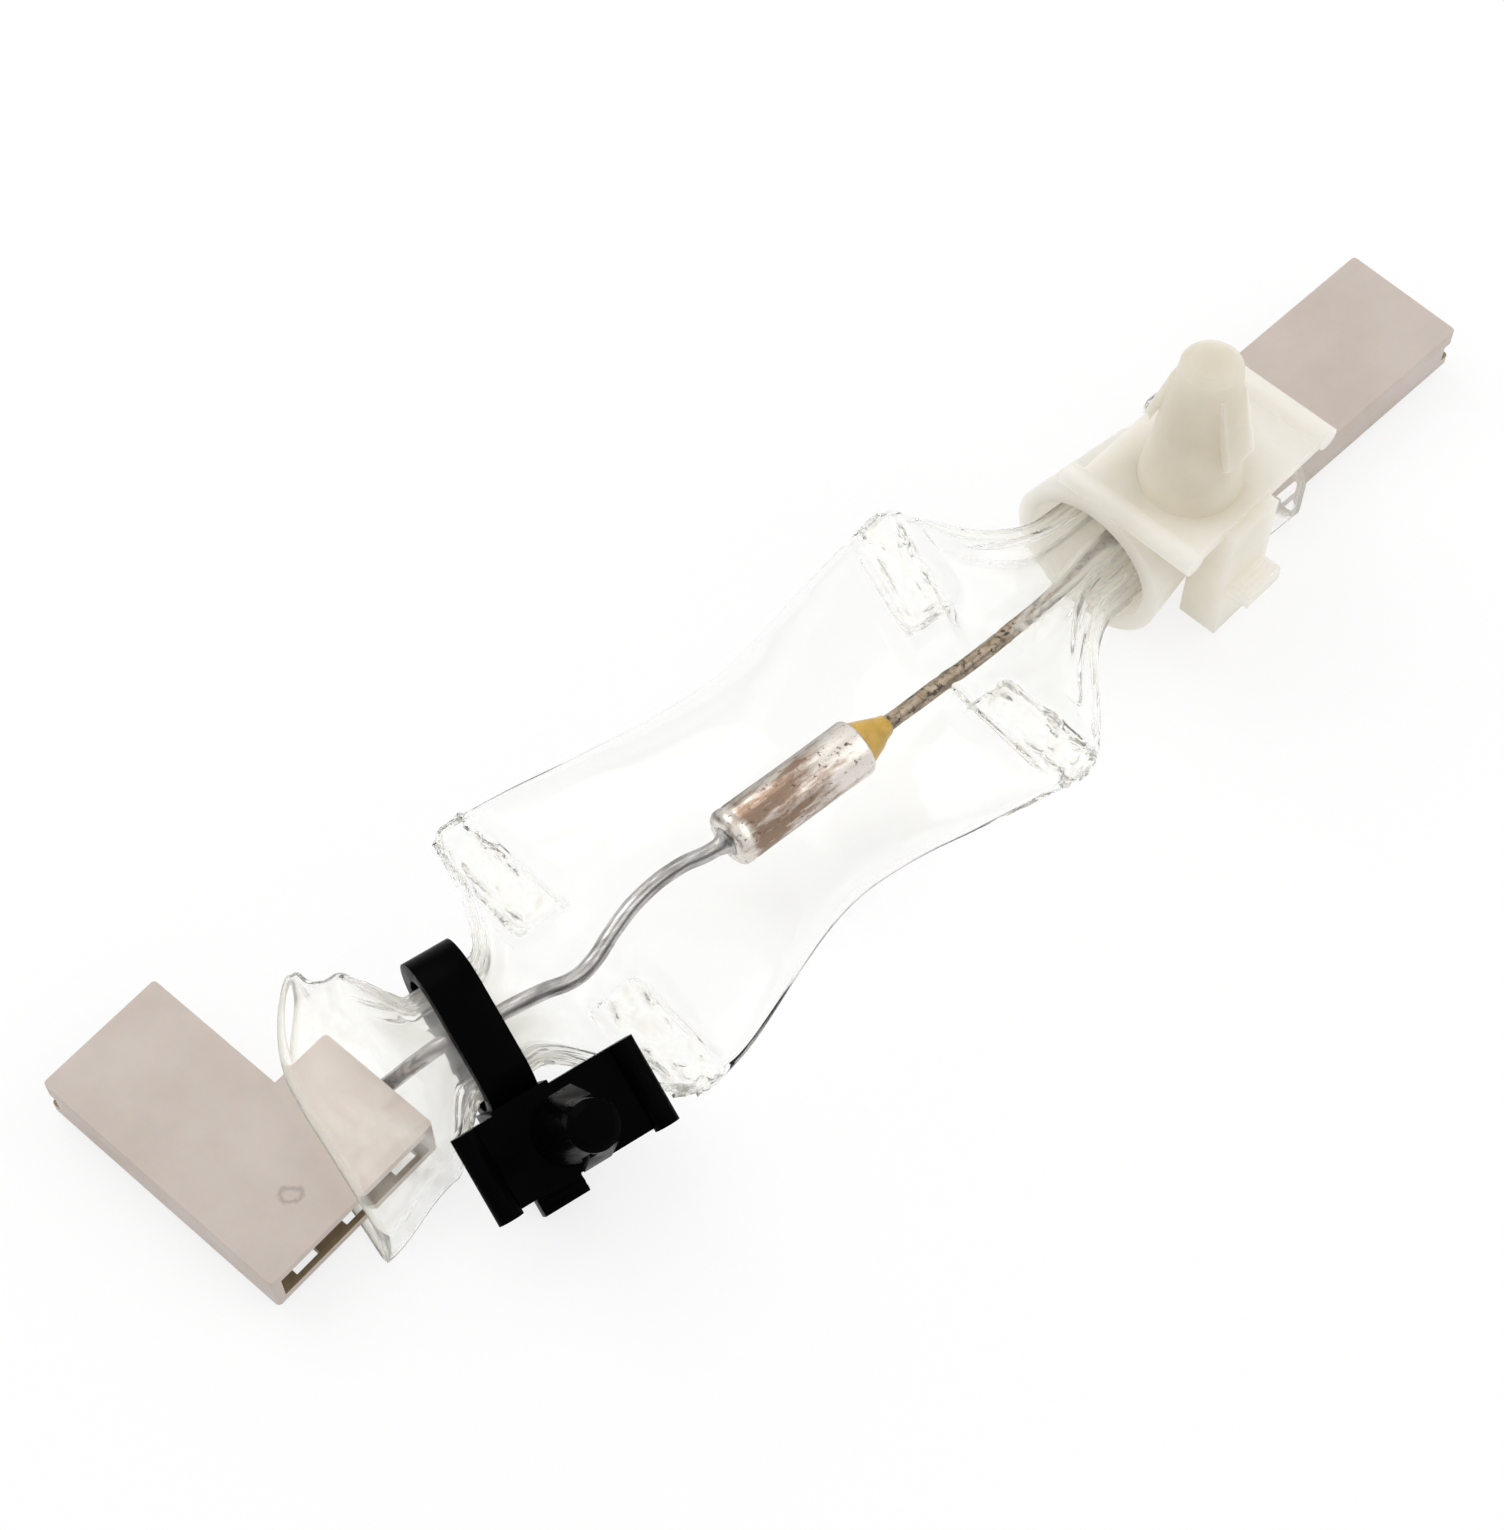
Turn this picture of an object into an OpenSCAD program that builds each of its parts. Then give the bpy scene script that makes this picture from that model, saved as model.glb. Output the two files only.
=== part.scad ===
// Ready-wired thermal cut-off: a metal-cased fuse in a clear pinched sleeve,
// gathered by two push-mount ties, with a tab connector on each lead.
// X runs along the fuse, Z is up and the part lies on z = 0.

/* [Fuse] */
// Outer diameter of the metal case
case_d = 4.0; // [3.6:0.1:5]
// Length of the metal case
case_l = 11.0; // [10.5:0.5:14]
// Wall of the metal case
case_wall = 0.3; // [0.2:0.05:0.4]
// Diameter of both leads
lead_d = 1.1; // [0.8:0.05:1.3]
// Length of the epoxy cone past the case
cone_l = 2.5; // [1.5:0.1:4]
// Length of the thermal pellet
pellet_l = 3.4; // [2.5:0.1:3.6]
// Length of the ceramic bushing
bushing_l = 2.4; // [1.8:0.1:3]
// Length of the compressed main spring
spring_l = 2.2; // [1.8:0.1:2.4]
// Diameter of the spring wire
spring_wire = 0.26; // [0.2:0.02:0.3]

/* [Sleeve] */
// Wall of the clear tube
film = 0.4; // [0.3:0.05:0.5]
// Flat width of the tube where it is pinched
flat_w = 23.6; // [22:0.2:26]
// Width of the belly round the fuse
belly_w = 17.8; // [15:0.2:20]
// Height of the belly round the fuse
belly_h = 11.2; // [9:0.2:12]
// Distance from the fuse centre to the left pinches
left_pinch = 17.6; // [16.5:0.1:19]
// Distance from the fuse centre to the inner end of the right pinches
right_pinch = 14.6; // [13.5:0.1:16]
// Width of one pinch bar along the tube
bar_w = 2.6; // [1.8:0.1:3.2]
// Width of the way left open between two pinch bars
core_w = 6.0; // [5:0.2:7]
// Width of the flared left end
flare_w = 18.2; // [17:0.2:20]
// Height of the flared ends
flare_h = 6.2; // [5.8:0.1:7]

/* [Connectors] */
// Width of a connector housing
housing_w = 9.4; // [8.6:0.1:11]
// Length of a connector housing
housing_l = 20; // [18:0.5:24]
// Thickness of a connector housing
housing_t = 3.6; // [3.4:0.1:4]
// Wall of a connector housing
housing_wall = 0.7; // [0.5:0.05:0.8]
// Reach of the wire side of the flag housing
flag_w = 4.4; // [3.6:0.1:5]
// Length of the wire side of the flag housing
flag_l = 9.25; // [8:0.25:10]
// Width of the tab that the receptacles take
tab_w = 6.3; // [4.8:0.1:6.5]
// Thickness of the tab that the receptacles take
tab_t = 0.8; // [0.5:0.1:0.8]
// Sheet thickness of a terminal
sheet = 0.4; // [0.3:0.05:0.5]

/* [Black tie] */
// Width of the strap
black_strap_w = 3.2; // [2.5:0.1:3.6]
// Outer length of the strap's loop
black_loop_l = 11.6; // [11:0.1:12.4]
// Outer height of the strap's loop
black_loop_h = 6.6; // [6.2:0.1:7.2]
// Length of the spring plate
black_plate_l = 12.8; // [11:0.1:14]
// Width of the spring plate
black_plate_w = 5.9; // [5:0.1:6.5]
// Height of the push post above its plate
black_post_h = 9.0; // [7:0.1:11]
// Diameter of the push post at its tip
black_post_d = 3.2; // [2.6:0.1:3.6]
// Diameter of the push post at its foot
black_foot_d = 4.4; // [3.8:0.1:5]

/* [Natural tie] */
// Width of the strap
natural_strap_w = 3.4; // [3:0.1:4.2]
// Reach of the loop's collar beyond the strap, towards the fuse
natural_collar = 4.9; // [4:0.1:5.2]
// Outer diameter of the strap's loop at its wide edge
natural_loop_d = 12.0; // [11.5:0.1:12.6]
// Outer diameter of the strap's loop at its narrow edge
natural_narrow_d = 9.8; // [9.4:0.1:11]
// Length of the spring plate
natural_plate_l = 15.6; // [14:0.1:17]
// Width of the spring plate
natural_plate_w = 10.9; // [9.5:0.1:12]
// Height of the push post above its plate
natural_post_h = 12.1; // [10:0.1:14]
// Diameter of the push post at its tip
natural_post_d = 4.1; // [3.4:0.1:4.8]
// Diameter of the push post at its foot
natural_foot_d = 7.0; // [6:0.1:8.4]

/* [Both ties] */
// Thickness of a strap
strap_t = 1.2; // [1:0.05:1.3]
// Thickness of a spring plate
plate_t = 0.9; // [0.7:0.05:1.2]
// Diameter of the lip along each end of a plate
lip_d = 1.7; // [1.2:0.1:2]

/* [Fits] */
// Gap between pieces that only lie beside each other
side_gap = 0.3; // [0.2:0.05:0.4]
// Gap round a lead, a spring or a disc in its seat
seat_gap = 0.03; // [0.02:0.01:0.05]

/* [Hidden] */
$fn = 48;
eps = 0.01;

// Heights: the sleeve lies on the table and the housings lie on its film
axis_z = belly_h / 2 + side_gap;
housing_z = film + side_gap;
wire_z = housing_z + housing_t / 2;

// Inside the case, from the closed end along the fuse axis
case_r = case_d / 2;
bore_r = case_r - case_wall;
lead_r = lead_d / 2;
case_corner = 0.6;
disc_t = 0.2;
rivet_t = 0.25;
star_t = 0.15;
x_closed = -case_l / 2;
x_floor = x_closed + case_wall;
x_pellet = x_floor + rivet_t;
x_pellet_disc = x_pellet + pellet_l;
x_spring = x_pellet_disc + disc_t;
x_contact_disc = x_spring + spring_l;
x_star = x_contact_disc + disc_t;
x_trip = x_star + star_t;
x_bushing = case_l / 2 - case_wall - bushing_l;
loose_r = bore_r - 3 * seat_gap;

// Places of the connectors: rear centre and turn of each housing
flag_at = [-40.2, -4.35, housing_z];
flag_turn = 99;
straight_at = [41.1, 2.55, housing_z];
straight_turn = 4.3;
flag_wire_x = flag_l / 2;

// Insides of the connectors
corner_r = 0.3;
mouth_wall = 1.0;
mouth_notch = 0.8;
slot_play = 0.3;
cavity_h = housing_t - 2 * housing_wall;
cavity_w = housing_w - 2 * housing_wall;
receptacle_w = tab_w + 2 * sheet + slot_play;
receptacle_l = 8;
receptacle_x = housing_l - mouth_wall - side_gap - receptacle_l;
terminal_neck_w = 3;
barrel_r = lead_r + sheet;
barrel_in = 0.8;
straight_barrel_l = 3.6;
lead_end = 0.4;

// Places of the ties: top centre of each plate, its turn and its roll
black_at = [-25.7, -9.2, 6.25];
black_turn = -6.3;
black_roll = 26;
black_strap_x = -1.5;
black_loop_at = [7.8, -side_gap - black_loop_h / 2];
natural_drop = 6.2;
natural_at = [34.9, -0.3, natural_loop_d / 2 + natural_drop];
natural_turn = 6.6;
natural_strap_x = -1.2;
natural_web_y = 4.8;
natural_post_at = [-1.6, -0.6, 0];
natural_loop_at = [2.3, -natural_drop];

// Post: slope of its tip, how far its barbs stand out, their thickness and width, in tip diameters
post_dome = 0.12;
post_flat = 0.7;
barb_out = 0.16;
barb_t = 0.12;
// Height of the barbs' free ends, as a share of the post
barb_low = 0.4;
barb_share = 0.6;

// Middle of the space inside each loop
function turned(p, a) = [p[0] * cos(a) - p[1] * sin(a), p[0] * sin(a) + p[1] * cos(a)];
function tie_point(at, turn, roll, p) =
    let (rolled = turned([p[1], p[2]], roll), flat = turned([p[0], rolled[0]], turn))
    at + [flat[0], flat[1], rolled[1]];
black_eye = tie_point(black_at, black_turn, black_roll,
                      [black_strap_x, black_loop_at[0], black_loop_at[1]]);
natural_eye = tie_point(natural_at, natural_turn, 0,
                        [natural_strap_x, natural_loop_at[0], natural_loop_at[1]]);

// Datum: middle of the box round the whole part, on the table
function mouth_corner(at, turn, side) =
    [at[0], at[1]] + turned([housing_l - corner_r, side * (housing_w / 2 - corner_r)], turn);
function tilted_reach(r) = r * sqrt(pow(sin(black_turn), 2) + pow(cos(black_roll) * cos(black_turn), 2));
post_rim = tie_point(black_at, black_turn, black_roll, [0, 0, black_post_h - post_dome * black_post_d]);
box_x = [mouth_corner(flag_at, flag_turn, 1)[0] - corner_r,
         mouth_corner(straight_at, straight_turn, -1)[0] + corner_r];
box_y = [post_rim[1] - tilted_reach(black_post_d / 2), mouth_corner(flag_at, flag_turn, -1)[1] + corner_r];
datum = [(box_x[0] + box_x[1]) / 2, (box_y[0] + box_y[1]) / 2, 0];

// Sleeve: stops along X for each property of its section
left_slant = [-0.15, 0.06];
right_slant = [0.3, 0.08];
left_roll = 9;
pinch_ramp = 1.4;
core_h = 3.4;
core_swell = 0.2;
flute_n = 9;
flute = 0.07;
bundle_gap = 0.3;
flare_taper = 1.7;
flare_shear = 0.12;
flare_curl = 0.06;
flare_curl_from = 1;
left_flare = [3, 9.4];
right_flare = [-1.2, 2.4];
left_end = flag_at[0] + left_flare[0];
flag_mouth = flag_at[0] + left_flare[1];
straight_rear = straight_at[0] + right_flare[0];
right_end = straight_at[0] + right_flare[1];
left_neck = [black_eye[0] - 1.95, black_eye[0] + 2.1];
right_neck = [natural_eye[0] - natural_strap_w / 2 - natural_collar - 1, natural_eye[0] + 2.5];
left_neck_w = (black_loop_l / 2 - strap_t - bundle_gap) / (1 + flute);
left_neck_h = (black_loop_h / 2 - strap_t - bundle_gap) / (1 + flute);
left_neck_wall = 0.5;
passage_r = 1.8;
wide_r = (natural_loop_d / 2 - strap_t - bundle_gap) / (1 + flute);
narrow_r = (natural_narrow_d / 2 - strap_t - bundle_gap) / (1 + flute);
pinch_h = core_h / 2 + film + core_swell;
flare_z = flare_h / 2;
right_flare_w = housing_w + 4 * (film + side_gap);
left_pinch_x = -left_pinch;
function strap_axis_y(eye, turn, x) = eye[1] + (x - eye[0]) * tan(turn);
left_neck_y = [for (x = left_neck) strap_axis_y(black_eye, black_turn, x)];
right_neck_y = [for (x = right_neck) strap_axis_y(natural_eye, natural_turn, x)];
half_w_stops = [[left_end, flare_w / 2], [flag_mouth, flare_w / 2 - flare_taper], [left_neck[0], left_neck_w],
                [left_neck[1], left_neck_w], [left_pinch_x, flat_w / 2], [0, belly_w / 2],
                [right_pinch, flat_w / 2], [right_neck[0], wide_r], [right_neck[1], narrow_r],
                [straight_rear, right_flare_w / 2], [right_end, right_flare_w / 2]];
half_h_stops = [[left_end, flare_h / 2], [flag_mouth, flare_h / 2], [left_neck[0], left_neck_h],
                [left_neck[1], left_neck_h], [left_pinch_x, pinch_h], [0, belly_h / 2],
                [right_pinch, pinch_h], [right_neck[0], wide_r], [right_neck[1], narrow_r],
                [straight_rear, flare_h / 2], [right_end, flare_h / 2]];
mid_y_stops = [[left_end, 1.7], [flag_mouth, 1.6], [left_neck[0], left_neck_y[0]],
               [left_neck[1], left_neck_y[1]], [left_pinch_x, -0.2], [0, 0.7], [right_pinch, 0.9],
               [right_neck[0], right_neck_y[0]], [right_neck[1], right_neck_y[1]],
               [straight_rear, straight_at[1]], [right_end, straight_at[1] + 0.1]];
mid_z_stops = [[left_end, flare_z], [flag_mouth, flare_z], [left_neck[0], black_eye[2]],
               [left_neck[1], black_eye[2]], [left_pinch_x, axis_z], [right_pinch, axis_z],
               [right_neck[0], natural_eye[2]], [right_neck[1], natural_eye[2]],
               [straight_rear, flare_z], [right_end, flare_z]];
power_stops = [[left_end, 5], [flag_mouth, 5], [left_neck[0], 2.4], [left_neck[1], 2.2], [0, 2],
               [right_neck[1], 2], [straight_rear, 6], [right_end, 6]];
wall_stops = [[left_end, film], [flag_mouth, film], [left_neck[0], left_neck_wall],
              [left_neck[1], left_neck_wall], [left_pinch_x, film], [right_pinch, film],
              [right_neck[0], wide_r - passage_r], [right_neck[1], narrow_r - passage_r],
              [straight_rear, film], [right_end, film]];
flute_stops = [[left_end, 0], [flag_mouth, 0], [left_neck[0], flute], [left_neck[1], flute],
               [left_pinch_x, 0], [right_pinch, 0], [right_neck[0], flute], [right_neck[1], flute],
               [straight_rear, 0], [right_end, 0]];
roll_stops = [[flag_mouth, 0], [left_neck[0], black_roll], [left_neck[1], black_roll],
              [left_pinch_x, left_roll], [0, 0]];
shear_stops = [[flag_mouth, flare_shear], [left_neck[0], 0]];
curl_stops = [[left_end, flare_curl], [flag_mouth, 0]];
upper_slant_stops = [[left_neck[1], 0], [left_pinch_x, left_slant[0]], [0, 0],
                     [right_pinch, right_slant[0]], [right_neck[0], 0]];
lower_slant_stops = [[left_neck[1], 0], [left_pinch_x, left_slant[1]], [0, 0],
                     [right_pinch, right_slant[1]], [right_neck[0], 0]];

// Leads: route points of each lead outside the fuse, chosen by hand
case_lead_bends = [[-8.8, 0.5, 0], [-12.2, 0.4, 0], [-15.1, -0.4, 0], [-17.5, -1.3, 0.1],
                   [-19.0, -1.5, 0.2], [-21.2, -1.0, 0.4], [-24.2, -0.5, 0.5], [-26.5, -0.2, 0.6],
                   [-28.3, 0.1, 0.5], [-29.5, 0.5, -0.45], [-30.4, 1.0, -1.7], [-31.0, 1.4, -2.7]];
isolated_lead_bends = [[12, 0, 0], [18, 0.1, 0], [24, 0.5, 0], [29, 1.2, 0], [34, 1.9, -0.3],
                       [36.4, 2.2, -0.9], [38.3, 2.35, -2.2], [39.7, 2.45, -3.1]];

// General helpers

function mix(a, b, t) = a + (b - a) * t;
function ease(t) = t * t * (3 - 2 * t);
function clamp01(t) = max(0, min(1, t));

// Value at x of a list of [x, value] stops, eased from stop to stop
function along(stops, x, i = 0) =
    x <= stops[0][0] ? stops[0][1]
    : i >= len(stops) - 1 ? stops[len(stops) - 1][1]
    : x > stops[i + 1][0] ? along(stops, x, i + 1)
    : mix(stops[i][1], stops[i + 1][1], ease((x - stops[i][0]) / (stops[i + 1][0] - stops[i][0])));

// Smooth curve through points, with n steps from point to point
function spline_point(a, b, c, d, t) =
    0.5 * (2 * b + (c - a) * t + (2 * a - 5 * b + 4 * c - d) * t * t
           + (3 * b - a - 3 * c + d) * t * t * t);
function spline(p, n) =
    [for (i = [0 : len(p) - 2], k = [0 : n - 1])
        spline_point(p[max(i - 1, 0)], p[i], p[i + 1], p[min(i + 2, len(p) - 1)], k / n),
     p[len(p) - 1]];

function unit(v) = v / norm(v);

// Skin over rings of equal count, with a fan of triangles on each end
module skin(rings) {
    n = len(rings[0]);
    last = (len(rings) - 1) * n;
    points = [for (r = rings, p = r) p];
    sides = [for (i = [0 : len(rings) - 2], k = [0 : n - 1])
        let (a = i * n + k, b = i * n + (k + 1) % n)
        each [[a, b, b + n], [a, b + n, a + n]]];
    ends = [[for (k = [n - 1 : -1 : 0]) k], [for (k = [0 : n - 1]) last + k]];
    polyhedron(points, concat(sides, ends), convexity = 8);
}

// Round wire along a path that never stands upright
module wire(path, d, sides = 10) {
    last = len(path) - 1;
    rings = [for (i = [0 : last])
        let (ahead = unit(path[min(i + 1, last)] - path[max(i - 1, 0)]),
             side = unit(cross(ahead, [0, 0, 1])),
             rise = cross(side, ahead))
        [for (k = [0 : sides - 1])
            path[i] + d / 2 * (side * cos(k * 360 / sides) - rise * sin(k * 360 / sides))]];
    skin([for (i = [last : -1 : 0]) rings[i]]);
}

// Coil spring along X, with its radius swelling by bulge at the middle
module coil(r, length, turns, wire_d, bulge = 0) {
    steps = 14 * turns;
    sides = 8;
    rings = [for (i = [0 : steps])
        let (t = i / steps, a = 360 * turns * t, at_r = r + bulge * sin(180 * t))
        [for (k = [0 : sides - 1])
            let (q = at_r + wire_d / 2 * cos(k * 360 / sides))
            [wire_d / 2 + (length - wire_d) * t + wire_d / 2 * sin(k * 360 / sides),
             q * cos(a), q * sin(a)]]];
    skin(rings);
}

// Turned shape: a profile of [x, radius] points spun round the fuse axis
module turned_shape(profile) {
    translate([0, 0, axis_z])
        rotate([0, 90, 0])
            rotate_extrude()
                polygon([for (p = profile) [p[1], p[0]]]);
}

// Disc between two x positions on the fuse axis
module axis_disc(x0, x1, r) {
    translate([x0, 0, axis_z])
        rotate([0, 90, 0])
            cylinder(r = r, h = x1 - x0);
}

// Fuse

// Drawn cup with a rounded closed end and its mouth rolled over the bushing
module fuse_case() {
    mouth = case_l / 2;
    hole_r = lead_r + seat_gap;
    bend = [for (a = [0 : 15 : 90])
        [x_closed + case_corner * (1 - sin(a)), case_r - case_corner * (1 - cos(a))]];
    color("gainsboro")
        turned_shape(concat(
            [[x_closed, hole_r]],
            [for (i = [len(bend) - 1 : -1 : 0]) bend[i]],
            [[mouth - case_wall, case_r], [mouth, case_r - case_wall],
             [mouth, bore_r - 2 * case_wall], [mouth - case_wall, bore_r - 2 * case_wall],
             [mouth - case_wall, bore_r], [x_floor, bore_r], [x_floor, hole_r]]));
}

// Lead with a rivet head inside the closed end and a small collar outside it
module case_lead() {
    collar = 0.55;
    head_r = bore_r * 0.7;
    outer = flag_wire_point(-housing_w / 2 - flag_w - lead_end);
    entry = flag_wire_point(-housing_w / 2 - flag_w);
    inner = flag_wire_point(-housing_w / 2 + lead_end);
    route = concat([[x_closed - collar / 2, 0, axis_z], [x_closed - 1.4, 0.1, axis_z]],
                   [for (p = case_lead_bends) p + [0, 0, axis_z]],
                   [outer, entry, mix(entry, inner, 0.5), inner]);
    color("silver") {
        wire(spline(route, 3), lead_d);
        turned_shape([[x_closed - collar, 0], [x_closed - collar, lead_r * 0.8],
                      [x_closed - eps, lead_r * 1.5], [x_closed - eps, lead_r], [x_floor + eps, lead_r],
                      [x_floor + eps, head_r], [x_pellet, head_r], [x_pellet, 0]]);
    }
}

// Lead that comes out through the bushing and the epoxy, with a contact button inside
module isolated_lead() {
    button_r = lead_r * 1.5;
    button_gap = 0.35;
    button_t = x_bushing - x_trip - button_gap;
    reach = barrel_in + straight_barrel_l - lead_end;
    entry = straight_at + [0, 0, housing_t / 2];
    inner = entry + [reach * cos(straight_turn), reach * sin(straight_turn), 0];
    route = concat([[x_trip + button_t / 2, 0, axis_z], [case_l / 2 + cone_l, 0, axis_z]],
                   [for (p = isolated_lead_bends) p + [0, 0, axis_z]],
                   [entry, mix(entry, inner, 0.5), inner]);
    color("rosybrown") {
        wire(spline(route, 3), lead_d);
        axis_disc(x_trip, x_trip + button_t, button_r);
    }
}

// Epoxy cone poured over the mouth of the case and round the lead
module epoxy_seal() {
    foot_in = 0.35;
    foot_r = case_r - foot_in;
    x0 = case_l / 2;
    hole_r = lead_r + seat_gap;
    color("goldenrod")
        turned_shape([[x0, hole_r], [x0, foot_r], [x0 + 0.25 * cone_l, foot_r - 0.12],
                      [x0 + 0.7 * cone_l, lead_r + 0.5], [x0 + cone_l, lead_r + 0.2],
                      [x0 + cone_l, hole_r]]);
}

// Insulating collar that the rolled mouth holds in the case
module ceramic_bushing() {
    hole_r = lead_r + seat_gap;
    fit_r = bore_r - seat_gap;
    edge = 0.2;
    x1 = case_l / 2 - case_wall;
    color("ivory")
        turned_shape([[x_bushing, hole_r], [x_bushing, fit_r - edge], [x_bushing + edge, fit_r],
                      [x1, fit_r], [x1, hole_r]]);
}

// Pellet that melts at the cut-off temperature
module thermal_pellet() {
    color("khaki")
        axis_disc(x_pellet, x_pellet_disc, loose_r);
}

// Disc between the pellet and the main spring
module pellet_disc() {
    color("lightsteelblue")
        axis_disc(x_pellet_disc, x_spring, loose_r);
}

// Barrel-shaped spring that the pellet keeps loaded
module main_spring() {
    color("slategray")
        translate([x_spring + seat_gap, 0, axis_z])
            coil(0.62 * bore_r, spring_l - 2 * seat_gap, 4, spring_wire, 0.2 * bore_r);
}

// Disc between the main spring and the sliding contact
module contact_disc() {
    color("lightsteelblue")
        axis_disc(x_contact_disc, x_star, loose_r);
}

// Sliding contact with fingers that press on the case wall all round
module star_contact() {
    fingers = 12;
    hub_r = 0.62 * bore_r;
    finger_w = 0.5 * hub_r;
    color("peru")
        intersection() {
            axis_disc(x_star, x_trip, bore_r - seat_gap);
            union() {
                axis_disc(x_star, x_trip, hub_r);
                for (i = [0 : fingers - 1])
                    translate([x_star, 0, axis_z])
                        rotate([i * 360 / fingers, 0, 0])
                            translate([0, -finger_w / 2, 0])
                                cube([star_t, finger_w, bore_r]);
            }
        }
}

// Weaker spring round the button that pushes the sliding contact away
module trip_spring() {
    color("slategray")
        translate([x_trip + seat_gap, 0, axis_z])
            coil(0.72 * bore_r, x_bushing - x_trip - 2 * seat_gap, 3, 0.8 * spring_wire);
}

// Sleeve

// How much of the section at x is pressed flat by the pinch bars
function pinched(x) =
    let (off = min(abs(x - left_pinch_x), abs(x - right_pinch)))
    ease(clamp01(1 - (off - bar_w / 2) / pinch_ramp));

// Rings of the sleeve's outer or inner skin at the given stations
function squared(v, e) = sign(v) * pow(abs(v), e);
function sleeve_ring(x, sides, inside) =
    let (wall = inside ? along(wall_stops, x) : 0,
         p = pinched(x),
         e = 2 / along(power_stops, x),
         w = mix(along(half_w_stops, x) - wall, inside ? core_w / 2 : along(half_w_stops, x), p),
         h = mix(along(half_h_stops, x) - wall, inside ? core_h / 2 : along(half_h_stops, x), p),
         roll = along(roll_stops, x),
         shear = along(shear_stops, x),
         curl = along(curl_stops, x),
         upper = along(upper_slant_stops, x),
         lower = along(lower_slant_stops, x),
         ripple = along(flute_stops, x))
    [for (k = [0 : sides - 1])
        let (a = 360 * k / sides,
             f = 1 + ripple * cos(flute_n * a),
             y = w * f * squared(cos(a), e),
             round_z = h * f * squared(sin(a), e),
             core = sqrt(max(0, 1 - pow(y / (core_w / 2 + 2 * film), 2))),
             flat_z = sign(sin(a)) * (film + (core_h + core_swell) / 2 * core),
             z = inside ? round_z : mix(round_z, flat_z, p),
             q = turned([y, z], roll))
        [x + shear * y + curl * pow(max(0, y - flare_curl_from), 2) + abs(y) * (y > 0 ? upper : lower),
         along(mid_y_stops, x) + q[0], along(mid_z_stops, x) + q[1]]];

// Stations along the sleeve, closer together at the pinch bars and necks
function spread(x0, x1, n) = [for (i = [0 : n - 1]) mix(x0, x1, i / n)];
function bar_stations(x) =
    [x - bar_w / 2 - pinch_ramp, x - bar_w / 2 - pinch_ramp / 2, x - bar_w / 2, x + bar_w / 2,
     x + bar_w / 2 + pinch_ramp / 2];
stations = concat(
    spread(left_end, flag_mouth, 5), spread(flag_mouth, left_neck[0], 4),
    spread(left_neck[0], left_neck[1], 2),
    spread(left_neck[1], left_pinch_x - bar_w / 2 - pinch_ramp, 3), bar_stations(left_pinch_x),
    spread(left_pinch_x + bar_w / 2 + pinch_ramp, right_pinch - bar_w / 2 - pinch_ramp, 9),
    bar_stations(right_pinch), spread(right_pinch + bar_w / 2 + pinch_ramp, right_neck[0], 4),
    spread(right_neck[0], right_neck[1], 2), spread(right_neck[1], straight_rear, 4),
    [straight_rear, right_end]);

// Clear tube, pinched beside the fuse, gathered in both ties and flared over the housings
module sleeve() {
    sides = 54;
    outer = [for (x = stations) sleeve_ring(x, sides, false)];
    inner = [for (x = stations) sleeve_ring(x, sides, true)];
    rings = len(stations);
    points = [for (side = [outer, inner], ring = side, p = ring) p];
    far = rings * sides;
    faces = [for (i = [0 : rings - 2], k = [0 : sides - 1])
        let (a = i * sides + k, b = i * sides + (k + 1) % sides, c = b + sides, d = a + sides)
        each [[a, c, b], [a, d, c], [far + a, far + b, far + c], [far + a, far + c, far + d]]];
    rims = [for (i = [0, rings - 1], k = [0 : sides - 1])
        let (a = i * sides + k, b = i * sides + (k + 1) % sides, out = i == 0)
        each out ? [[a, b, far + b], [a, far + b, far + a]] : [[a, far + b, b], [a, far + a, far + b]]];
    color("whitesmoke", 0.4)
        polyhedron(points, concat(faces, rims), convexity = 12);
}

// Connectors: each is drawn with its rear centre at the origin and its mouth towards +X

// Point on the wire's axis in the flag housing, at a place across the housing
function flag_wire_point(across) =
    let (q = turned([flag_wire_x, across], flag_turn))
    [flag_at[0] + q[0], flag_at[1] + q[1], wire_z];

module at_flag() {
    translate(flag_at)
        rotate([0, 0, flag_turn])
            children();
}

module at_straight() {
    translate(straight_at)
        rotate([0, 0, straight_turn])
            children();
}

// Box from a lower corner to an upper corner
module span_box(low, high) {
    translate(low)
        cube(high - low);
}

// Upright block with its four standing edges rounded
module soft_block(low, high, r) {
    height = high[2] - low[2];
    span_box([low[0] + r, low[1], low[2]], [high[0] - r, high[1], high[2]]);
    span_box([low[0], low[1] + r, low[2]], [high[0], high[1] - r, high[2]]);
    for (x = [low[0] + r, high[0] - r], y = [low[1] + r, high[1] - r])
        translate([x, y, low[2]])
            cylinder(r = r, h = height);
}

// Hollow of a housing: the terminal's space, open at the rear, with a slot for the tab
module housing_hollow() {
    tab_z = housing_wall + sheet + tab_t / 2;
    low = tab_z - tab_t / 2 - slot_play;
    high = tab_z + tab_t / 2 + slot_play;
    slot_w = tab_w + 2 * slot_play;
    span_box([-eps, -cavity_w / 2, housing_wall],
             [housing_l - mouth_wall, cavity_w / 2, housing_wall + cavity_h]);
    span_box([housing_l - mouth_wall - eps, -slot_w / 2, low], [housing_l + eps, slot_w / 2, high]);
    span_box([housing_l - mouth_notch, -housing_w, low], [housing_l + eps, housing_w, high]);
}

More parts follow.
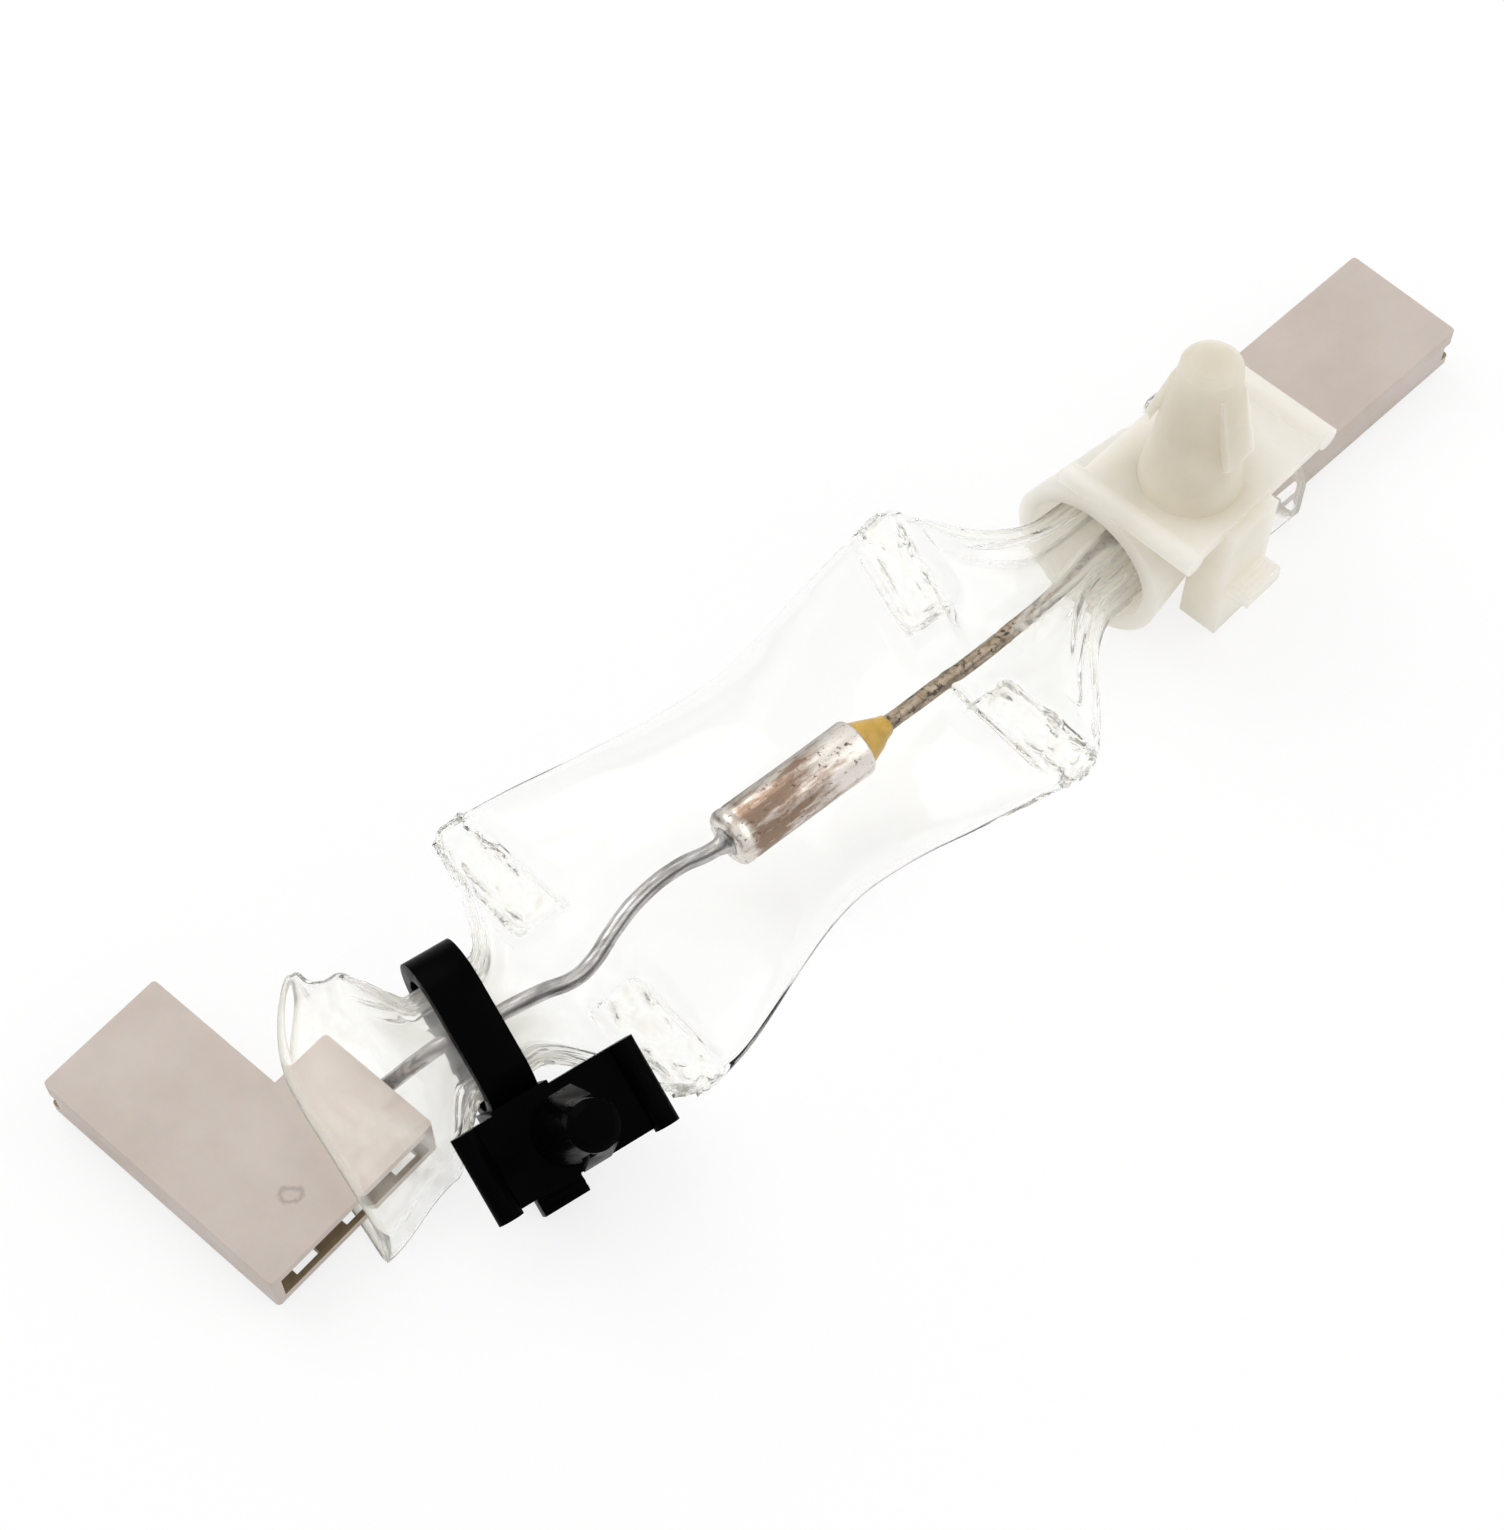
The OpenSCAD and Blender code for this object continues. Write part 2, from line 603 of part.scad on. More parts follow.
// Flag housing: the wire leaves at the side, and the floor has a row of windows at the open rear
module flag_housing() {
    flag_low = -housing_w / 2 - flag_w;
    window = [0.85, 1.9];
    window_in = 0.4;
    windows = 3;
    pitch = (housing_w + flag_w) / (windows + 0.25);
    color("seashell")
        at_flag()
            difference() {
                union() {
                    soft_block([0, -housing_w / 2, 0], [housing_l, housing_w / 2, housing_t], corner_r);
                    soft_block([0, flag_low, 0], [flag_l, 0, housing_t], corner_r);
                }
                housing_hollow();
                span_box([-eps, flag_low + housing_wall, housing_wall],
                         [flag_l - housing_wall, 0, housing_wall + cavity_h]);
                translate([flag_wire_x, flag_low + housing_wall + eps, housing_t / 2])
                    rotate([90, 0, 0])
                        cylinder(r = barrel_r + side_gap / 2, h = 2 * housing_wall);
                for (i = [1 : windows])
                    translate([window_in, housing_w / 2 - i * pitch + side_gap, -eps])
                        cube([window[0], window[1], housing_wall + 2 * eps]);
            }
}

// Straight housing: the wire leaves at the rear
module straight_housing() {
    color("seashell")
        at_straight()
            difference() {
                soft_block([0, -housing_w / 2, 0], [housing_l, housing_w / 2, housing_t], corner_r);
                housing_hollow();
            }
}

// Receptacle: a base with an edge rolled over on each side, so that it grips a flat tab
module receptacle() {
    roll_r = (2 * sheet + tab_t + 0.1) / 2;
    translate([receptacle_x, 0, housing_wall])
        rotate([90, 0, 90])
            linear_extrude(receptacle_l)
                difference() {
                    union() {
                        translate([-receptacle_w / 2 + roll_r, 0])
                            square([receptacle_w - 2 * roll_r, sheet]);
                        for (side = [-1, 1])
                            translate([side * (receptacle_w / 2 - roll_r), roll_r])
                                difference() {
                                    circle(r = roll_r);
                                    circle(r = roll_r - sheet);
                                }
                    }
                    translate([-receptacle_w / 2 + roll_r, sheet])
                        square([receptacle_w - 2 * roll_r, tab_t]);
                }
}

// Plain cylinder along +X
module cylinder_x(r, length) {
    rotate([0, 90, 0])
        cylinder(r = r, h = length);
}

// Crimp barrel along +X with a foot down to the terminal's floor at its far end
module barrel(length) {
    foot_l = 1;
    difference() {
        union() {
            cylinder_x(barrel_r, length);
            span_box([length - foot_l, -barrel_r, housing_wall - housing_t / 2],
                     [length, barrel_r, -lead_r]);
        }
        translate([-length, 0, 0])
            cylinder_x(lead_r + seat_gap, 3 * length);
    }
}

// Floor strip between a barrel and its receptacle
module floor_strip(low, high) {
    span_box([low[0], low[1], housing_wall], [high[0], high[1], housing_wall + sheet]);
}

// Receptacle with its barrel at the side, for the flag housing
module flag_terminal() {
    barrel_l = flag_w + barrel_in;
    side = terminal_neck_w / 2;
    color("tan")
        at_flag() {
            receptacle();
            floor_strip([flag_wire_x - side, -side], [receptacle_x + eps, side]);
            floor_strip([flag_wire_x - side, -housing_w / 2], [flag_wire_x + side, 0]);
            translate([flag_wire_x, -housing_w / 2 - flag_w, housing_t / 2])
                rotate([0, 0, 90])
                    barrel(barrel_l);
        }
}

// Receptacle with its barrel in line, for the straight housing
module straight_terminal() {
    side = terminal_neck_w / 2;
    color("tan")
        at_straight() {
            receptacle();
            floor_strip([barrel_in + straight_barrel_l - eps, -side], [receptacle_x + eps, side]);
            translate([barrel_in, 0, housing_t / 2])
                barrel(straight_barrel_l);
        }
}

// Ties: drawn with the plate's top centre at the origin and the post towards +Z

// Outline of a strap's loop: a slot with round ends, of outer length and height
module loop_outline(length, height, inset) {
    r = height / 2 - inset;
    reach = (length - height) / 2;
    translate([-reach, -r])
        square([2 * reach + eps, 2 * r]);
    for (side = [-1, 1])
        translate([side * reach, 0])
            circle(r = r);
}

// Strap closed in a loop round the gathered sleeve
module strap_loop(at, length, height, strap_w) {
    translate([-strap_w / 2, at[0], at[1]])
        rotate([90, 0, 90])
            linear_extrude(strap_w)
                difference() {
                    loop_outline(length, height, 0);
                    loop_outline(length, height, strap_t);
                }
}

// Spring plate with a round lip along each end and a web from its front edge to web_y
module spring_plate(length, width, web_y) {
    step = 0.25;
    span_box([-length / 2 + lip_d / 2, -width / 2 + step, -plate_t], [length / 2 - lip_d / 2, web_y, 0]);
    for (side = [-1, 1])
        translate([side * (length / 2 - lip_d / 2), width / 2, -plate_t + lip_d / 2])
            rotate([90, 0, 0])
                cylinder(d = lip_d, h = width);
}

// Tapered push post with a sprung barb on two sides
module push_post(height, tip_d, base_d) {
    barb_w = barb_share * tip_d;
    barb_r = base_d / 2 + barb_low * (tip_d - base_d) / 2 + barb_out * tip_d;
    dome = post_dome * tip_d;
    cylinder(d1 = base_d, d2 = tip_d, h = height - dome);
    translate([0, 0, height - dome])
        cylinder(d1 = tip_d, d2 = post_flat * tip_d, h = dome);
    for (side = [0, 180])
        rotate([90, 0, 90 + side])
            translate([0, 0, -barb_w / 2])
                linear_extrude(barb_w)
                    polygon([[0.2 * tip_d, 0.9 * height], [0.5 * tip_d, 0.86 * height],
                             [barb_r, barb_low * height],
                             [barb_r - barb_t * tip_d, (barb_low - 0.04) * height],
                             [0.42 * tip_d, 0.72 * height]]);
}

// Short tail that stands out of the head, with ribs across it
module strap_tail(strap_w, length) {
    rib = 0.25;
    ribs = floor(length / (2 * rib));
    span_box([-strap_w / 2, -length, -strap_t / 2], [strap_w / 2, eps, strap_t / 2]);
    for (i = [0 : ribs - 1])
        translate([0, -length + (2 * i + 0.5) * rib, strap_t / 2 - eps])
            span_box([-strap_w / 2, 0, 0], [strap_w / 2, rib, rib / 2]);
}

module black_tie() {
    head_w = black_strap_w + 0.8;
    head_y = [-2.6, 3.2];
    head_h = 5.4;
    tail_z = -4.2;
    tail_l = 1.6;
    color([0.04, 0.04, 0.05])
        translate(black_at)
            rotate([0, 0, black_turn])
                rotate([black_roll, 0, 0]) {
                    spring_plate(black_plate_l, black_plate_w, black_plate_w / 2);
                    push_post(black_post_h, black_post_d, black_foot_d);
                    translate([black_strap_x, 0, 0]) {
                        difference() {
                            union() {
                                strap_loop(black_loop_at, black_loop_l, black_loop_h, black_strap_w);
                                span_box([-head_w / 2, head_y[0], -head_h], [head_w / 2, head_y[1], -eps]);
                            }
                            translate([-head_w, black_loop_at[0], black_loop_at[1]])
                                rotate([90, 0, 90])
                                    linear_extrude(2 * head_w)
                                        loop_outline(black_loop_l, black_loop_h, strap_t);
                        }
                        translate([0, head_y[0], tail_z])
                            strap_tail(black_strap_w, tail_l);
                    }
                }
}

module natural_tie() {
    head_w = natural_strap_w + 1.2;
    head_y = [-6.0, -3.0];
    head_h = 11.4;
    tail_z = -6.6;
    tail_l = 1.7;
    loop_w = natural_strap_w + natural_collar;
    slope = (natural_narrow_d - natural_loop_d) / loop_w;
    bore_d = natural_loop_d - 2 * strap_t;
    color("ivory")
        translate(natural_at)
            rotate([0, 0, natural_turn]) {
                spring_plate(natural_plate_l, natural_plate_w, natural_web_y);
                translate(natural_post_at)
                    push_post(natural_post_h, natural_post_d, natural_foot_d);
                translate([natural_strap_x, 0, 0]) {
                    difference() {
                        union() {
                            translate([natural_strap_w / 2 - loop_w, natural_loop_at[0], natural_loop_at[1]])
                                rotate([0, 90, 0])
                                    cylinder(d1 = natural_loop_d, d2 = natural_narrow_d, h = loop_w);
                            span_box([-head_w / 2, head_y[0], -head_h],
                                     [head_w / 2, head_y[1], -plate_t / 2]);
                        }
                        translate([natural_strap_w / 2 - loop_w - 1, natural_loop_at[0], natural_loop_at[1]])
                            rotate([0, 90, 0])
                                cylinder(d1 = bore_d - slope, d2 = bore_d + slope * (loop_w + 1),
                                         h = loop_w + 2);
                    }
                    translate([0, head_y[0], tail_z])
                        strap_tail(natural_strap_w, tail_l);
                }
            }
}

// Moves a piece from the fuse's own frame to the part's frame
module placed() {
    translate(-datum)
        children();
}

placed() fuse_case();
placed() case_lead();
placed() isolated_lead();
placed() epoxy_seal();
placed() ceramic_bushing();
placed() thermal_pellet();
placed() pellet_disc();
placed() main_spring();
placed() contact_disc();
placed() star_contact();
placed() trip_spring();
placed() sleeve();
placed() flag_housing();
placed() straight_housing();
placed() flag_terminal();
placed() straight_terminal();
placed() black_tie();
placed() natural_tie();
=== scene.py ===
"""Looks of a ready-wired thermal fuse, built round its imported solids.

The clear film, the leads, the can and the resin are new meshes. The mouldings are
copies of their solids with softened edges. Sizes are in millimetres until a mesh is
written, and places are measured from the middle of the can, on the table.
"""

import logging
import math
from dataclasses import dataclass
from enum import Enum
from typing import Any, Sequence

import bmesh
import bpy
from mathutils import Euler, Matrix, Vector, noise


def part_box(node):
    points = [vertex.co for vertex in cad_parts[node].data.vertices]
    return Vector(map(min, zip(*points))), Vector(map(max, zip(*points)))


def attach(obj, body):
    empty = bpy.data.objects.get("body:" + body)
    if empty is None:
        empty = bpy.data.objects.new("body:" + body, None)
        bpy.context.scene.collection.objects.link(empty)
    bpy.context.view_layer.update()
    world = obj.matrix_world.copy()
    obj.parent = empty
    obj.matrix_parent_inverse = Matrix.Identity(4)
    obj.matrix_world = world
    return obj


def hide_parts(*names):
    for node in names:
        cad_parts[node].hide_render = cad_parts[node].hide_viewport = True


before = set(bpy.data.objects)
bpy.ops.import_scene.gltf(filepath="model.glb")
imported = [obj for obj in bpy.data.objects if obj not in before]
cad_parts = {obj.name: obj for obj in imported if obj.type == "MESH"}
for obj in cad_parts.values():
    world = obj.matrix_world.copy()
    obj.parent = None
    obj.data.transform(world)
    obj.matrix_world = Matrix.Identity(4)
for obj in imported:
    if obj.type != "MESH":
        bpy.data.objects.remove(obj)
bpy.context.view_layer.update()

logging.basicConfig(level=logging.INFO, format="%(message)s")
LOG = logging.getLogger("thermal_fuse")

MM = 0.001
PHOTO_SIZE = (1504, 1530)

Span = tuple[float, float]
Stops = tuple[Span, ...]
Spot = tuple[float, float, float]

# Points of a mesh that are closer together than this, in metres, become one.
SAME_POINT = 0.001 * MM
SAME_POINT_IN_SOLID = 0.002 * MM
# Edges of a solid are flat under the first angle and get rounded over the second.
FLAT_ANGLE = math.radians(1.0)
SHARP_ANGLE = math.radians(35)
# Span that holds nearly all values of a noise texture.
NOISE_SPAN: Span = (0.3, 0.7)


def linear(code: str, alpha: float = 1.0) -> tuple[float, float, float, float]:
    """Turns an sRGB hex colour into the linear values that shaders take.

    Args:
        code: Six hex digits.
        alpha: Fourth value of the result.

    Returns:
        Linear red, green and blue, and alpha.
    """
    shares = (int(code[i : i + 2], 16) / 255 for i in (0, 2, 4))
    red, green, blue = (
        s / 12.92 if s <= 0.04045 else ((s + 0.055) / 1.055) ** 2.4 for s in shares
    )
    return red, green, blue, alpha


def mix(a: float, b: float, t: float) -> float:
    """Value that lies t of the way from a to b."""
    return a + (b - a) * t


def ease(t: float) -> float:
    """Share t from 0 to 1, with a slow start and a slow end."""
    t = max(0.0, min(1.0, t))
    return t * t * (3 - 2 * t)


def along(stops: Stops, x: float) -> float:
    """Reads a list of stops at x, eased from stop to stop.

    Args:
        stops: Pairs of place and value, in order of place.
        x: Place to read.

    Returns:
        The value at x, or the nearest end's value outside the list.
    """
    if x <= stops[0][0]:
        return stops[0][1]
    for (x0, v0), (x1, v1) in zip(stops, stops[1:]):
        if x <= x1:
            return mix(v0, v1, ease((x - x0) / (x1 - x0)))
    return stops[-1][1]


def can_middle() -> Vector:
    """Middle of the can on the table, in metres: the place all others are measured from."""
    low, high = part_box("fuse_case")
    return Vector(((low[0] + high[0]) / 2, (low[1] + high[1]) / 2, 0))


ORIGIN = can_middle()


def place(spot: Sequence[float]) -> Vector:
    """Point in the part's frame, in metres, of a spot in millimetres from the can's middle."""
    return ORIGIN + Vector(spot) * MM


def feed(tree: bpy.types.NodeTree, node: Any, inputs: dict) -> None:
    """Sets or links inputs of a node.

    Args:
        tree: Node tree that holds the node.
        node: Node to feed.
        inputs: Input names or numbers, each with a value or with the socket that feeds it.
    """
    for key, value in inputs.items():
        if isinstance(value, bpy.types.NodeSocket):
            tree.links.new(value, node.inputs[key])
        else:
            node.inputs[key].default_value = value


def add_node(
    tree: bpy.types.NodeTree, kind: str, inputs: dict | None = None, **settings: Any
) -> Any:
    """Adds one shader node with its settings and links.

    Args:
        tree: Node tree that gets the node.
        kind: Blender's name for the kind of node.
        inputs: What its inputs are fed with.
        settings: Values of the node's own properties.

    Returns:
        The new node.
    """
    node = tree.nodes.new(kind)
    for name, value in settings.items():
        setattr(node, name, value)
    feed(tree, node, inputs or {})
    return node


def per_metre(size_mm: float) -> float:
    """Scale of a texture whose features are about size_mm across."""
    return 1 / (size_mm * MM)


@dataclass(frozen=True)
class Finish:
    """Base of all finishes: a named material with one shader."""

    name: str

    def start(self) -> tuple[bpy.types.Material, bpy.types.NodeTree, Any, Any]:
        """Makes an empty material.

        Returns:
            The material, its node tree, its shader and its output node.
        """
        material = bpy.data.materials.new(self.name)
        material.use_nodes = True
        tree = material.node_tree
        tree.nodes.clear()
        shader = add_node(tree, "ShaderNodeBsdfPrincipled")
        output = add_node(tree, "ShaderNodeOutputMaterial", {"Surface": shader.outputs["BSDF"]})
        return material, tree, shader, output

    def material(self) -> bpy.types.Material:
        """The finish's material, made at its first use."""
        return bpy.data.materials.get(self.name) or self.make()

    def make(self) -> bpy.types.Material:
        """Makes the material.

        Returns:
            The new material.
        """
        raise NotImplementedError


@dataclass(frozen=True)
class Mottled(Finish):
    """Plastic, ceramic or metal with soft colour patches and a fine grain.

    Patches run from light to dark over patch mm, and the grain has a relief in mm. The shine
    is the roughness of the light and of the dark patches.
    """

    light: str = "FFFFFF"
    dark: str = "FFFFFF"
    patch: float = 5.0
    grain: float = 0.3
    relief: float = 0.01
    shine: Span = (0.4, 0.5)
    tones: Span = (0.32, 0.62)
    metallic: float = 0.0
    glow: float = 0.0
    glow_reach: float = 1.0
    mirror: float = 0.5

    def make(self) -> bpy.types.Material:
        """Makes the material.

        Returns:
            The new material.
        """
        material, tree, shader, _ = self.start()
        spot = add_node(tree, "ShaderNodeTexCoord").outputs["Object"]
        patches = add_node(
            tree, "ShaderNodeTexNoise",
            {"Vector": spot, "Scale": per_metre(self.patch), "Detail": 5.0, "Roughness": 0.6},
        )
        colour = add_node(tree, "ShaderNodeValToRGB", {"Fac": patches.outputs["Fac"]})
        tones = zip(colour.color_ramp.elements, self.tones, (self.dark, self.light))
        for stop, position, code in tones:
            stop.position, stop.color = position, linear(code)
        gloss = add_node(
            tree, "ShaderNodeMapRange",
            {"Value": patches.outputs["Fac"], "From Min": NOISE_SPAN[0], "From Max": NOISE_SPAN[1],
             "To Min": self.shine[1], "To Max": self.shine[0]},
        )
        grains = add_node(
            tree, "ShaderNodeTexNoise",
            {"Vector": spot, "Scale": per_metre(self.grain), "Detail": 2.0},
        )
        bump = add_node(
            tree, "ShaderNodeBump", {"Height": grains.outputs["Fac"], "Distance": self.relief * MM}
        )
        feed(tree, shader, {
            "Base Color": colour.outputs["Color"],
            "Roughness": gloss.outputs["Result"],
            "Normal": bump.outputs["Normal"],
            "Metallic": self.metallic,
            "Subsurface Weight": self.glow,
            "Subsurface Scale": self.glow_reach * MM,
            "Specular IOR Level": self.mirror,
        })
        return material


@dataclass(frozen=True)
class BlemishedNylon(Mottled):
    """The same moulded nylon with one small sink mark, grey in its rim.

    The rim wanders and reaches out by shares of the mark's radius, uneven over wobble mm. Its
    stops say how deep the grey of the ring is on the way out.
    """

    mark: Spot = (-40.6, -1.1, 4.3)
    mark_r: float = 0.6
    rim_grey: str = "94877F"
    wobble: float = 1.3
    wander: float = 2.6
    reach: Span = (0.5, 2.5)
    rim: Stops = ((0.0, 0.2), (0.5, 0.05), (0.75, 0.6))

    def make(self) -> bpy.types.Material:
        """Makes the material and draws the mark over it.

        Returns:
            The new material.
        """
        material = super().make()
        tree = material.node_tree
        shader = tree.nodes["Principled BSDF"]
        spot = add_node(tree, "ShaderNodeTexCoord").outputs["Object"]
        uneven = add_node(
            tree, "ShaderNodeTexNoise",
            {"Vector": spot, "Scale": per_metre(self.wobble), "Detail": 3.0},
        )
        away = add_node(
            tree, "ShaderNodeVectorMath", {0: spot, 1: place(self.mark)}, operation="DISTANCE"
        )
        radius = self.mark_r * MM
        edge = add_node(
            tree, "ShaderNodeMath",
            {0: uneven.outputs["Fac"], 1: self.wander * radius, 2: away.outputs["Value"]},
            operation="MULTIPLY_ADD",
        )
        out = add_node(
            tree, "ShaderNodeMapRange",
            {"Value": edge.outputs[0], "From Min": self.reach[0] * radius,
             "From Max": self.reach[1] * radius},
        )
        share = add_node(tree, "ShaderNodeValToRGB", {"Fac": out.outputs["Result"]})
        for stop, grey in self.rim:
            step = share.color_ramp.elements.new(stop)
            step.color = (grey, grey, grey, 1)
        share.color_ramp.elements.remove(share.color_ramp.elements[0])
        share.color_ramp.elements[-1].color = (0, 0, 0, 1)
        plain = shader.inputs["Base Color"].links[0].from_socket
        # A grey ring is drawn round the mark over the plain colour.
        marked = add_node(
            tree, "ShaderNodeMix",
            {0: share.outputs["Color"], 6: plain, 7: linear(self.rim_grey)},
            data_type="RGBA",
        )
        feed(tree, shader, {"Base Color": marked.outputs[2]})
        return material


@dataclass(frozen=True)
class ClearFilm(Finish):
    """Plasticised PVC, extruded as a tube: clear, faintly warm where it is thick or welded.

    Roughness and passing light each run from clear to fully milky film.
    """

    clear: str = "FEFEFD"
    milky: str = "E2DECD"
    tint: str = "D8D4C6"
    rough: Span = (0.02, 0.25)
    passing: Span = (1.0, 0.25)
    ripple: float = 5.0
    ripple_relief: float = 0.02
    absorption: float = 20.0
    ior: float = 1.26

    def make(self) -> bpy.types.Material:
        """Makes the material, made milky by the mesh's own attribute frost.

        Returns:
            The new material.
        """
        material, tree, shader, output = self.start()
        # The attribute frost also carries the painted sheen streaks and the painted fold
        # highlights.
        frost = add_node(tree, "ShaderNodeAttribute", attribute_name="frost").outputs["Fac"]
        spot = add_node(tree, "ShaderNodeTexCoord").outputs["Object"]
        colour = add_node(
            tree, "ShaderNodeMix",
            {0: frost, 6: linear(self.clear), 7: linear(self.milky)},
            data_type="RGBA",
        )
        gloss, passing = (
            add_node(tree, "ShaderNodeMapRange", {"Value": frost, "To Min": low, "To Max": high})
            for low, high in (self.rough, self.passing)
        )
        ripples = add_node(
            tree, "ShaderNodeTexNoise",
            {"Vector": spot, "Scale": per_metre(self.ripple), "Detail": 2.0, "Distortion": 0.4},
        )
        bump = add_node(
            tree, "ShaderNodeBump",
            {"Height": ripples.outputs["Fac"], "Distance": self.ripple_relief * MM},
        )
        tint = add_node(
            tree, "ShaderNodeVolumeAbsorption",
            {"Color": linear(self.tint), "Density": self.absorption},
        )
        feed(tree, shader, {
            "Base Color": colour.outputs[2],
            "Roughness": gloss.outputs["Result"],
            "Normal": bump.outputs["Normal"],
            "Transmission Weight": passing.outputs["Result"],
            "IOR": self.ior,
        })
        feed(tree, output, {"Volume": tint.outputs["Volume"]})
        return material


@dataclass(frozen=True)
class UndyedNylon(Finish):
    """Undyed nylon, moulded: milky, creamy in its thick middle, pale and cool where it is thin.

    A painted glow, emitted by the nylon itself, stands in for the light that comes up through it
    from the bright table and evens out its shadows. The thick colour turns to the thin one over
    thick_reach, in mm from the middle, with the axes weighted.
    """

    thick: str = "C4BDAE"
    thin: str = "ECE8DF"
    painted_glow: str = "F4ECD8"
    painted_glow_strength: float = 0.14
    middle: Spot = (33.4, -1.1, 14.5)
    weights: Spot = (1.0, 1.0, 0.3)
    thick_reach: Span = (3.5, 8.0)
    cloud: float = 4.0
    cloud_shift: float = 3.0
    grain: float = 0.5
    relief: float = 0.012
    shine: Span = (0.28, 0.45)
    passing: float = 0.25
    glow_colours: Spot = (1.0, 0.95, 0.85)
    glow_reach: float = 7.0
    mirror: float = 0.3

    def make(self) -> bpy.types.Material:
        """Makes the material, whose colour pales away from the middle.

        Returns:
            The new material.
        """
        material, tree, shader, _ = self.start()
        spot = add_node(tree, "ShaderNodeTexCoord").outputs["Object"]
        centred = add_node(
            tree, "ShaderNodeVectorMath", {0: spot, 1: place(self.middle)}, operation="SUBTRACT"
        )
        weighted = add_node(
            tree, "ShaderNodeVectorMath",
            {0: centred.outputs[0], 1: self.weights},
            operation="MULTIPLY",
        )
        away = add_node(tree, "ShaderNodeVectorMath", {0: weighted.outputs[0]}, operation="LENGTH")
        cloud, grain = (
            add_node(tree, "ShaderNodeTexNoise", {"Vector": spot, "Scale": scale, "Detail": 3.0})
            for scale in (per_metre(self.cloud), per_metre(self.grain))
        )
        wander = add_node(
            tree, "ShaderNodeMath",
            {0: cloud.outputs["Fac"], 1: self.cloud_shift * MM, 2: away.outputs["Value"]},
            operation="MULTIPLY_ADD",
        )
        share = add_node(
            tree, "ShaderNodeMapRange",
            {"Value": wander.outputs[0], "From Min": self.thick_reach[0] * MM,
             "From Max": self.thick_reach[1] * MM},
        )
        colour = add_node(
            tree, "ShaderNodeMix",
            {0: share.outputs["Result"], 6: linear(self.thick), 7: linear(self.thin)},
            data_type="RGBA",
        )
        bump = add_node(
            tree, "ShaderNodeBump", {"Height": grain.outputs["Fac"], "Distance": self.relief * MM}
        )
        gloss = add_node(
            tree, "ShaderNodeMapRange",
            {"Value": cloud.outputs["Fac"], "To Min": self.shine[0], "To Max": self.shine[1]},
        )
        feed(tree, shader, {
            "Base Color": colour.outputs[2],
            "Roughness": gloss.outputs["Result"],
            "Normal": bump.outputs["Normal"],
            "Transmission Weight": self.passing,
            "Subsurface Weight": 1.0,
            "Subsurface Radius": self.glow_colours,
            "Subsurface Scale": self.glow_reach * MM,
            # Painted glow: the nylon emits a light of its own that evens out its shadows.
            "Emission Color": linear(self.painted_glow),
            "Emission Strength": self.painted_glow_strength,
            "Specular IOR Level": self.mirror,
        })
        return material


